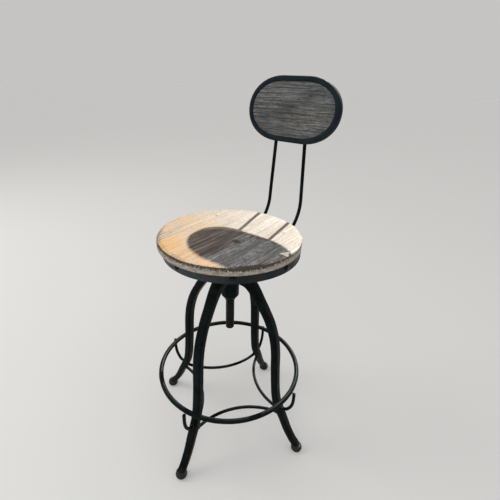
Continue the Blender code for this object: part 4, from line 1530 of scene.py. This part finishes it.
def make_floor():
    material, tree, shader = new_material("pale_floor")
    place = add(tree, "ShaderNodeTexCoord").outputs["Object"]
    tone = cloud(tree, place, 1.2, 3.0, 0.5)
    colour = blend_colours(tree, tone, (0.870, 0.867, 0.855), (0.895, 0.892, 0.880))
    tree.links.new(colour, shader.inputs["Base Color"])
    shader.inputs["Roughness"].default_value = 0.75
    shader.inputs["Specular IOR Level"].default_value = 0.2
    shader.inputs["Emission Color"].default_value = STUDIO_COLOUR
    shader.inputs["Emission Strength"].default_value = FLOOR_GLOW
    points = [Vector((0.0, 0.0, 0.0))]
    faces = []
    segments = 64
    for radius in FLOOR_RADII:
        points += lathe_loops([(radius, 0.0)], segments)[0]
    for j in range(segments):
        faces.append((0, 1 + j, 1 + (j + 1) % segments))
    for i in range(len(FLOOR_RADII) - 1):
        for j in range(segments):
            here = 1 + i * segments
            k = (j + 1) % segments
            faces.append((here + j, here + segments + j, here + segments + k, here + k))
    mesh = bpy.data.meshes.new("floor")
    mesh.from_pydata([tuple(p) for p in points], [], faces)
    mesh.materials.append(material)
    floor = bpy.data.objects.new("floor", mesh)
    bpy.context.scene.collection.objects.link(floor)


def aim(item, target):
    item.rotation_mode = "QUATERNION"
    item.rotation_quaternion = (target - item.location).to_track_quat("-Z", "Y")


def make_key(towards, strength, softness, colour, lit):
    """The strong light from behind. A flag keeps it off the floor: it lights the chair alone."""
    lamp = bpy.data.lights.new("key", "SUN")
    lamp.energy = strength
    lamp.angle = math.radians(softness)
    lamp.color = colour
    item = bpy.data.objects.new("key", lamp)
    bpy.context.scene.collection.objects.link(item)
    item.location = towards * 4.0
    aim(item, Vector((0.0, 0.0, 0.0)))
    chair = bpy.data.collections.new("lit_by_key")
    for piece in lit:
        chair.objects.link(piece)
    item.light_linking.receiver_collection = chair


def make_light(name, place, target, size, power, colour):
    lamp = bpy.data.lights.new(name, "AREA")
    lamp.shape = "DISK"
    lamp.size = size
    lamp.energy = power
    lamp.color = colour
    item = bpy.data.objects.new(name, lamp)
    bpy.context.scene.collection.objects.link(item)
    item.location = place
    aim(item, target)


def make_lights():
    world = bpy.data.worlds.new("studio")
    world.use_nodes = True
    background = world.node_tree.nodes["Background"]
    background.inputs[0].default_value = STUDIO_COLOUR
    background.inputs[1].default_value = STUDIO_STRENGTH
    bpy.context.scene.world = world
    seat = Vector((AXIS.x, AXIS.y, SEAT_TOP))
    pieces = [item for item in bpy.data.objects if item.type == "MESH" and item.name != "floor"]
    make_key(Vector(KEY_DIRECTION).normalized(), KEY_STRENGTH, KEY_SOFTNESS, (1.0, 0.975, 0.935), pieces)
    make_light("fill_left", Vector((-2.6, -1.6, 2.4)), seat, 2.4, 34.0, (1.0, 0.98, 0.95))
    make_light("fill_front", Vector((1.8, -3.0, 2.2)), seat, 2.4, 16.0, (0.95, 0.98, 1.0))


def make_camera():
    lens = bpy.data.cameras.new("camera")
    lens.lens = CAMERA_LENS
    lens.sensor_width = 36.0
    camera = bpy.data.objects.new("camera", lens)
    bpy.context.scene.collection.objects.link(camera)
    camera.location = CAMERA_PLACE
    camera.rotation_euler = Euler([math.radians(a) for a in CAMERA_TURN])
    bpy.context.scene.camera = camera


def write_sizes():
    def plain(box):
        return [[float(v) for v in corner] for corner in box]


def main():
    bpy.context.scene.view_settings.view_transform = "Standard"
    make_camera()
    make_floor()
    make_hub()
    make_legs()
    make_feet()
    make_foot_ring()
    make_ring_hooks()
    make_braces()
    make_washer()
    make_screw()
    make_seat_board()
    make_band()
    make_band_bolts()
    make_plate()
    make_clamps()
    make_clamp_bolts()
    make_back_rods()
    make_back_pan()
    make_back_panel()
    make_lights()
    write_sizes()


main()
